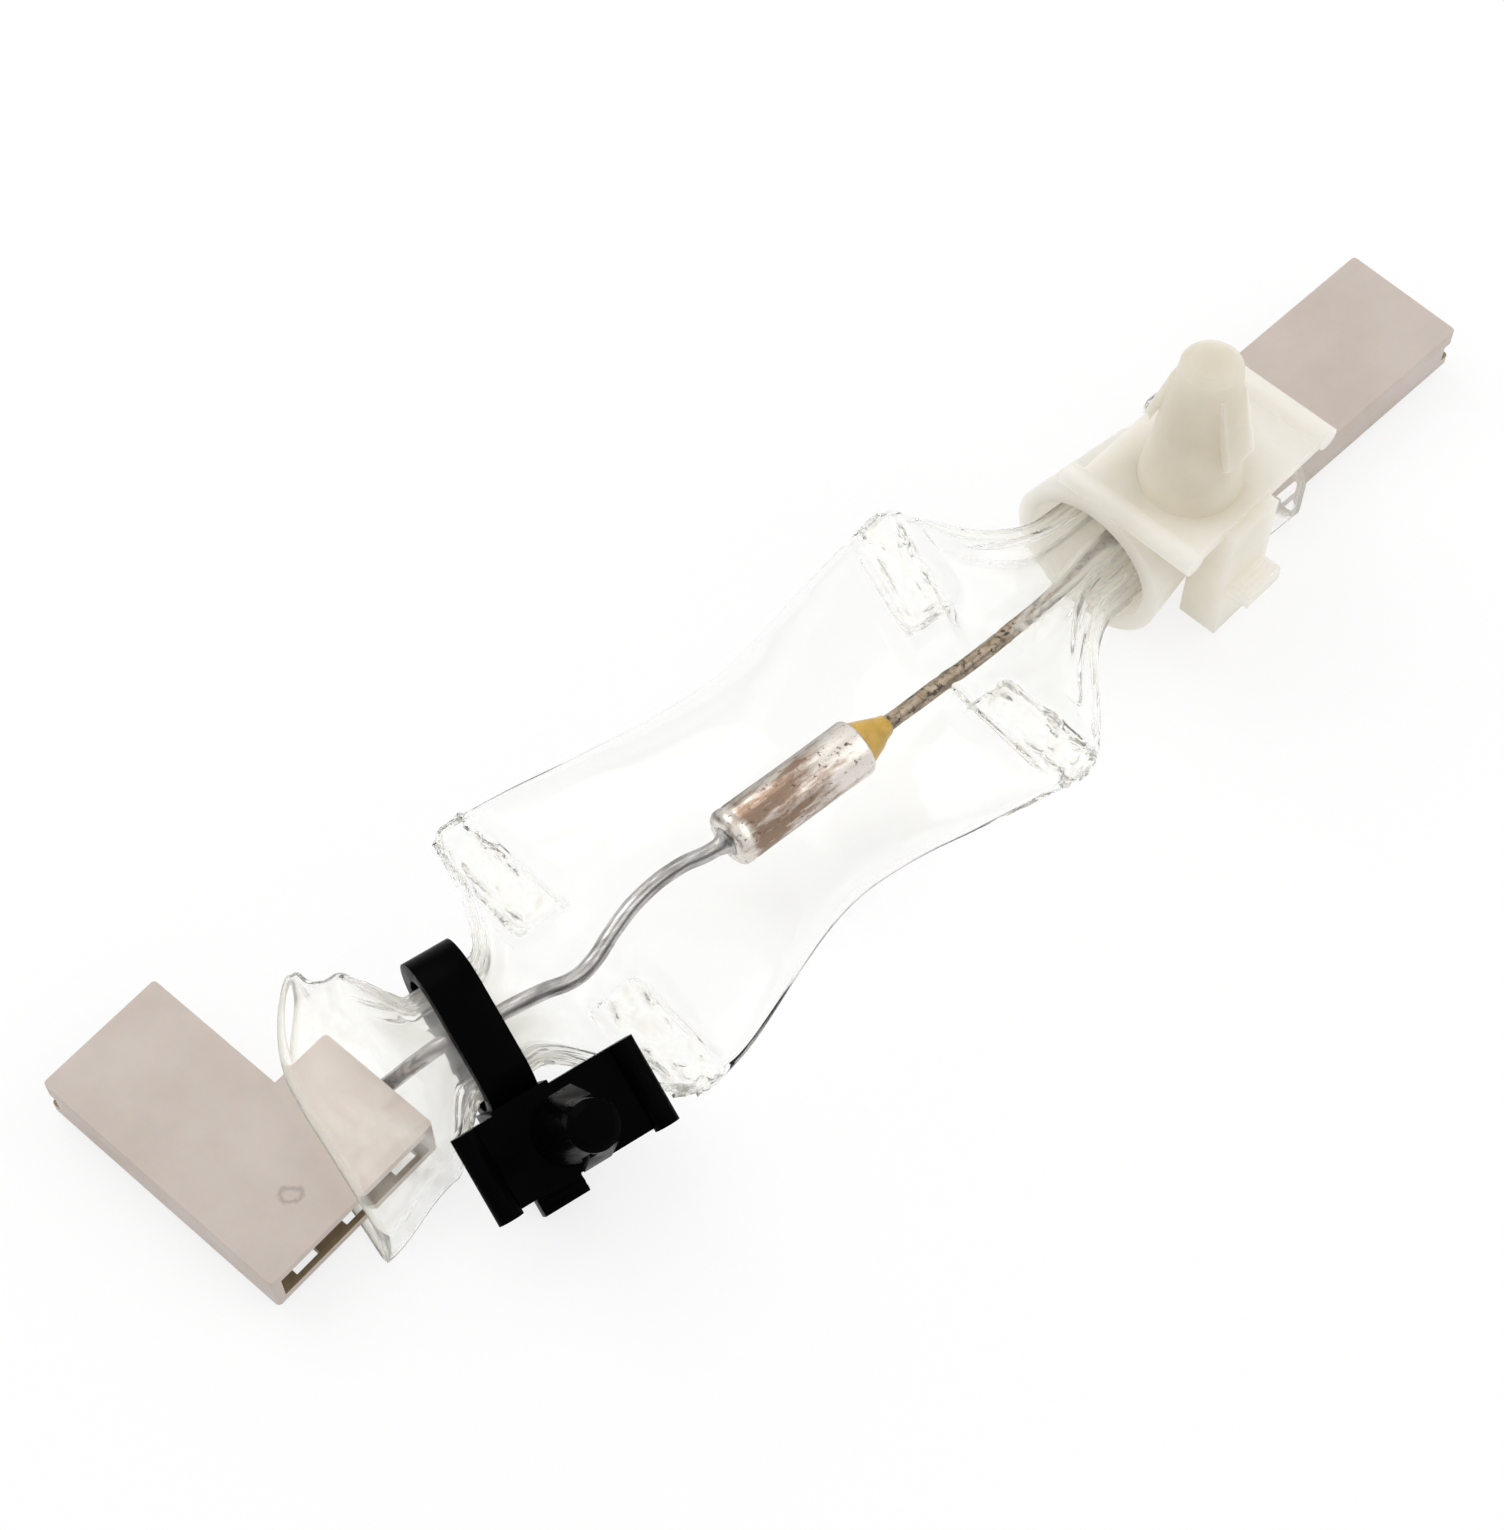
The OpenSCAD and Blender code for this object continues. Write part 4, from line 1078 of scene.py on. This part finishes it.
    def crease(self, x: float, y: float) -> float:
        """Milky stripes that leave the lead and spread into the large tie: painted highlights of
        its folds.

        Args:
            x: Place along the tube.
            y: Place across the tube from its middle.

        Returns:
            Frost of the film there, from 0 to 1.
        """
        off = (y - self.fold_highlight_y) / along(self.fold_highlight_spread, x)
        if abs(off) > 1:
            return 0.0
        sway, rate = self.fold_highlight_sway
        stripe = 0.5 + 0.5 * math.cos(self.fold_highlight_waves * math.pi * off + sway * math.sin(rate * x))
        return along(self.fold_highlight_share, x) * (1 - off * off) * stripe ** self.fold_highlight_edge

    def point(self, x: float, angle: float) -> tuple[Vector, float]:
        """Point of the outer skin.

        Args:
            x: Place along the tube.
            angle: Angle round the section, in radians.

        Returns:
            The point in millimetres from the can's middle, and its frost from 0 to 1.
        """
        press = self.pinched(x)
        power = 2 / along(self.power, x)
        cos, sin = math.cos(angle), math.sin(angle)
        fold = along(self.pleat, x)
        sway = self.pleat_sway * math.sin(2 * angle)
        wave = math.cos(self.pleats * angle + sway + self.pleat_twist * x)
        shrink = 1 - fold * (0.5 - 0.5 * wave)
        w, h = along(self.half_w, x) * shrink, along(self.half_h, x) * shrink
        y = w * math.copysign(abs(cos) ** power, cos)
        z_round = h * math.copysign(abs(sin) ** power, sin)
        swell = math.sqrt(max(0.0, 1 - (y / (self.core_w / 2)) ** 2))
        ridge = self.bead(x, y) if press > 0 else 0.0
        flat = self.film + self.bar_gap + self.core_h / 2 * swell
        z_flat = math.copysign(flat + ridge * press, sin) if abs(sin) > 1e-6 else 0.0
        z = mix(z_round, z_flat, press)
        amount = along(self.crumple, x) * (1 - press)
        ripple = noise.noise(Vector((x, y, z)) * Vector(self.rise_rates))
        z += amount * self.rise_size * ripple * (1 if z > 0 else self.rise_below)
        x_rate, z_rate, seed = self.sway_rates
        y += amount * self.sway_size * noise.noise(Vector((x * x_rate, z * z_rate, seed)))
        turn = math.radians(along(self.roll, x))
        across = y * math.cos(turn) - z * math.sin(turn)
        rise = y * math.sin(turn) + z * math.cos(turn)
        slant = along(self.upper_slant if y > 0 else self.lower_slant, x)
        curl = along(self.curl, x) * max(0.0, y - self.curl_from) ** 2
        spot = Vector((
            x + along(self.shear, x) * y + curl + abs(y) * slant,
            along(self.mid_y, x) + across,
            max(self.lowest, along(self.mid_z, x) + rise),
        ))
        # Painted highlights of the folds, as milky stripes on the upper skin.
        crease = self.crease(x, across) if sin > 0 else 0.0
        # Painted sheen: whitish frost streaks across the film over the flag housing.
        x_rate, y_rate, seed = self.sheen_streak_rates
        field = noise.noise(Vector((x * x_rate + self.sheen_streak_slant * y, y * y_rate, seed)))
        streak = along(self.sheen_streak_share, x) * max(0.0, field)
        frost = along(self.frost, x + self.frost_shift * fold * wave)
        return spot, max(frost, ridge * press, crease, streak)

    def build(self) -> None:
        """Rolls a sheet into the tube's shape and gives it the film's thickness."""
        stations = self.stations()
        mesh = bmesh.new()
        bmesh.ops.create_grid(mesh, x_segments=len(stations) - 1, y_segments=self.around, size=1.0)
        frost = mesh.verts.layers.float.new("frost")
        for vertex in mesh.verts:
            ring = round((vertex.co.x + 1) / 2 * (len(stations) - 1))
            angle = (vertex.co.y + 1) * math.pi
            spot, vertex[frost] = self.point(stations[ring], angle)
            vertex.co = place(spot)
        bmesh.ops.remove_doubles(mesh, verts=mesh.verts, dist=SAME_POINT_IN_SOLID)
        bmesh.ops.recalc_face_normals(mesh, faces=mesh.faces)
        piece = write_piece(mesh, "clear_sleeve", Finishes.FILM, "sleeve", 80)
        wall = piece.modifiers.new("film_wall", "SOLIDIFY")
        wall.thickness = self.film * MM
        wall.offset = -1
        wall.use_rim = True
        piece.visible_shadow = False


@dataclass
class Connector:
    """A connector: its housing with softened edges and the terminal inside.

    Faces that look up from below the height top are the floor of the hollow, and get a painted
    shade.
    """

    housing: str
    terminal: str
    finish: Finishes = Finishes.HOUSING
    rounding: float = 0.12
    top: float = 3.0
    upward: float = 0.7

    def build(self) -> None:
        """Builds and dresses the housing and its terminal."""
        mesh = softened_copy(self.housing, self.rounding)
        # The floor of the hollow gets the second material: a painted shade, darker and browner.
        for face in mesh.faces:
            low = face.calc_center_median().z < self.top * MM
            face.material_index = 1 if low and face.normal.z > self.upward else 0
        piece = write_piece(
            mesh, f"{self.housing}_moulding", self.finish, self.housing
        )
        piece.data.materials.append(Finishes.HOUSING_PAINTED_SHADE.value.material())
        dress_solid(self.terminal, Finishes.TERMINAL)


@dataclass
class PushTie:
    """A one-piece push-mount tie with softened edges."""

    node: str
    finish: Finishes
    slot: str
    rounding: float = 0.2

    def build(self) -> None:
        """Builds and dresses the tie."""
        mesh = softened_copy(self.node, self.rounding, 3)
        write_piece(mesh, f"{self.node}_moulding", self.finish, self.node, 35)


@dataclass
class Studio:
    """Pale floor, soft light and the camera at the photograph's angle."""

    target: Spot = (-0.97, 2.84, 6.91)
    distance: float = 199.0
    elevation: float = 59.5
    azimuth: float = -40.0
    focal_px: float = 3100.0
    sensor: float = 36.0
    floor_size: float = 4.0
    floor_drop: float = 0.02
    floor_colour: str = "F7F7F7"
    floor_glow: float = 1.05
    glow_share: float = 0.72
    ambient: float = 0.66
    room_dark: float = 0.38
    room_climb: Span = (0.1, 0.62)
    room_in_film: float = 0.22
    bounces: int = 24
    lamps: tuple[tuple[str, Spot, float, float], ...] = (
        ("window", (-60.0, 420.0, 520.0), 0.5, 1.2),
        ("fill", (420.0, -260.0, 420.0), 0.6, 0.9),
    )

    def build(self) -> None:
        """Builds floor, world, lamps and camera."""
        self.build_floor()
        self.build_world()
        for name, spot, size, power in self.lamps:
            self.build_lamp(name, spot, size, power)
        self.build_camera()
        bpy.context.scene.view_settings.view_transform = "Standard"
        # Light runs far along inside the film's wall before it leaves at an edge.
        paths = bpy.context.scene.cycles
        paths.max_bounces = paths.glossy_bounces = paths.transmission_bounces = self.bounces

    def build_floor(self) -> None:
        """Builds a white table, which mostly glows where it is seen and so keeps a faint shadow."""
        mesh = bmesh.new()
        bmesh.ops.create_grid(mesh, x_segments=1, y_segments=1, size=self.floor_size / 2)
        bmesh.ops.translate(mesh, verts=mesh.verts, vec=(0, 0, -self.floor_drop * MM))
        data = bpy.data.meshes.new("floor")
        mesh.to_mesh(data)
        mesh.free()
        floor = bpy.data.objects.new("floor", data)
        bpy.context.scene.collection.objects.link(floor)
        material = bpy.data.materials.new("white_table")
        material.use_nodes = True
        tree = material.node_tree
        tree.nodes.clear()
        paper = add_node(tree, "ShaderNodeBsdfDiffuse", {"Color": linear(self.floor_colour)})
        glow = add_node(
            tree, "ShaderNodeEmission", {"Color": linear("FFFFFF"), "Strength": self.floor_glow}
        )
        path = add_node(tree, "ShaderNodeLightPath").outputs
        seen = path["Is Camera Ray"]
        for kind in ("Is Glossy Ray", "Is Transmission Ray"):
            either = add_node(tree, "ShaderNodeMath", {0: seen, 1: path[kind]}, operation="MAXIMUM")
            seen = either.outputs[0]
        share = add_node(
            tree, "ShaderNodeMath", {0: seen, 1: self.glow_share}, operation="MULTIPLY"
        )
        both = add_node(
            tree, "ShaderNodeMixShader",
            {0: share.outputs[0], 1: paper.outputs[0], 2: glow.outputs[0]},
        )
        add_node(tree, "ShaderNodeOutputMaterial", {"Surface": both.outputs[0]})
        data.materials.append(material)

    def build_world(self) -> None:
        """Builds a white surround: dimmer for the light on the part, dark low down in its gloss."""
        world = bpy.data.worlds.new("white_surround")
        bpy.context.scene.world = world
        world.use_nodes = True
        tree = world.node_tree
        tree.nodes.clear()
        towards = add_node(tree, "ShaderNodeTexCoord").outputs["Generated"]
        climb = add_node(tree, "ShaderNodeSeparateXYZ", {"Vector": towards}).outputs["Z"]
        room = add_node(
            tree, "ShaderNodeMapRange",
            {"Value": climb, "From Min": self.room_climb[0], "From Max": self.room_climb[1],
             "To Min": self.room_dark, "To Max": 1.0},
        )
        passed = add_node(
            tree, "ShaderNodeMath",
            {0: room.outputs["Result"], 1: self.room_in_film, 2: 1 - self.room_in_film},
            operation="MULTIPLY_ADD",
        )
        path = add_node(tree, "ShaderNodeLightPath").outputs
        strength: Any = self.ambient
        for kind, level in (
            ("Is Glossy Ray", room.outputs["Result"]),
            ("Is Transmission Ray", passed.outputs[0]),
            ("Is Camera Ray", 1.0),
        ):
            chosen = add_node(tree, "ShaderNodeMix", {0: path[kind], 2: strength, 3: level})
            strength = chosen.outputs[0]
        sky = add_node(
            tree, "ShaderNodeBackground", {"Color": linear("FFFFFF"), "Strength": strength}
        )
        add_node(tree, "ShaderNodeOutputWorld", {"Surface": sky.outputs[0]})

    @staticmethod
    def build_lamp(name: str, spot: Spot, size: float, power: float) -> None:
        """Builds one soft lamp that faces the part.

        Args:
            name: Name of the lamp.
            spot: Its place, in millimetres from the can's middle.
            size: Side of its square, in metres.
            power: Power in watts.
        """
        light = bpy.data.lights.new(name, "AREA")
        light.size = size
        light.energy = power
        lamp = bpy.data.objects.new(name, light)
        lamp.location = place(spot)
        lamp.rotation_euler = (place((0, 0, 0)) - lamp.location).to_track_quat("-Z", "Y").to_euler()
        bpy.context.scene.collection.objects.link(lamp)

    def build_camera(self) -> None:
        """Builds the camera where the photograph was taken from."""
        lens = bpy.data.cameras.new("camera")
        lens.sensor_width = self.sensor
        lens.lens = self.focal_px * self.sensor / max(PHOTO_SIZE)
        lens.clip_start = 0.01
        camera = bpy.data.objects.new("camera", lens)
        turn = Euler((math.radians(90 - self.elevation), 0, math.radians(self.azimuth)))
        camera.rotation_euler = turn
        back = turn.to_matrix() @ Vector((0, 0, 1))
        camera.location = place(self.target) + back * self.distance * MM
        bpy.context.scene.collection.objects.link(camera)
        bpy.context.scene.camera = camera


def main() -> None:
    """Builds every sub-assembly in order, then the studio."""
    ThermalCutOff().build()
    Connector("flag_housing", "flag_terminal", Finishes.FLAG_HOUSING).build()
    Connector("straight_housing", "straight_terminal").build()
    PushTie("black_tie", Finishes.BLACK_NYLON, "black_nylon").build()
    PushTie("natural_tie", Finishes.NATURAL_NYLON, "natural_nylon", 0.25).build()
    Sleeve().build()
    Studio().build()


if __name__ == "__main__":
    main()
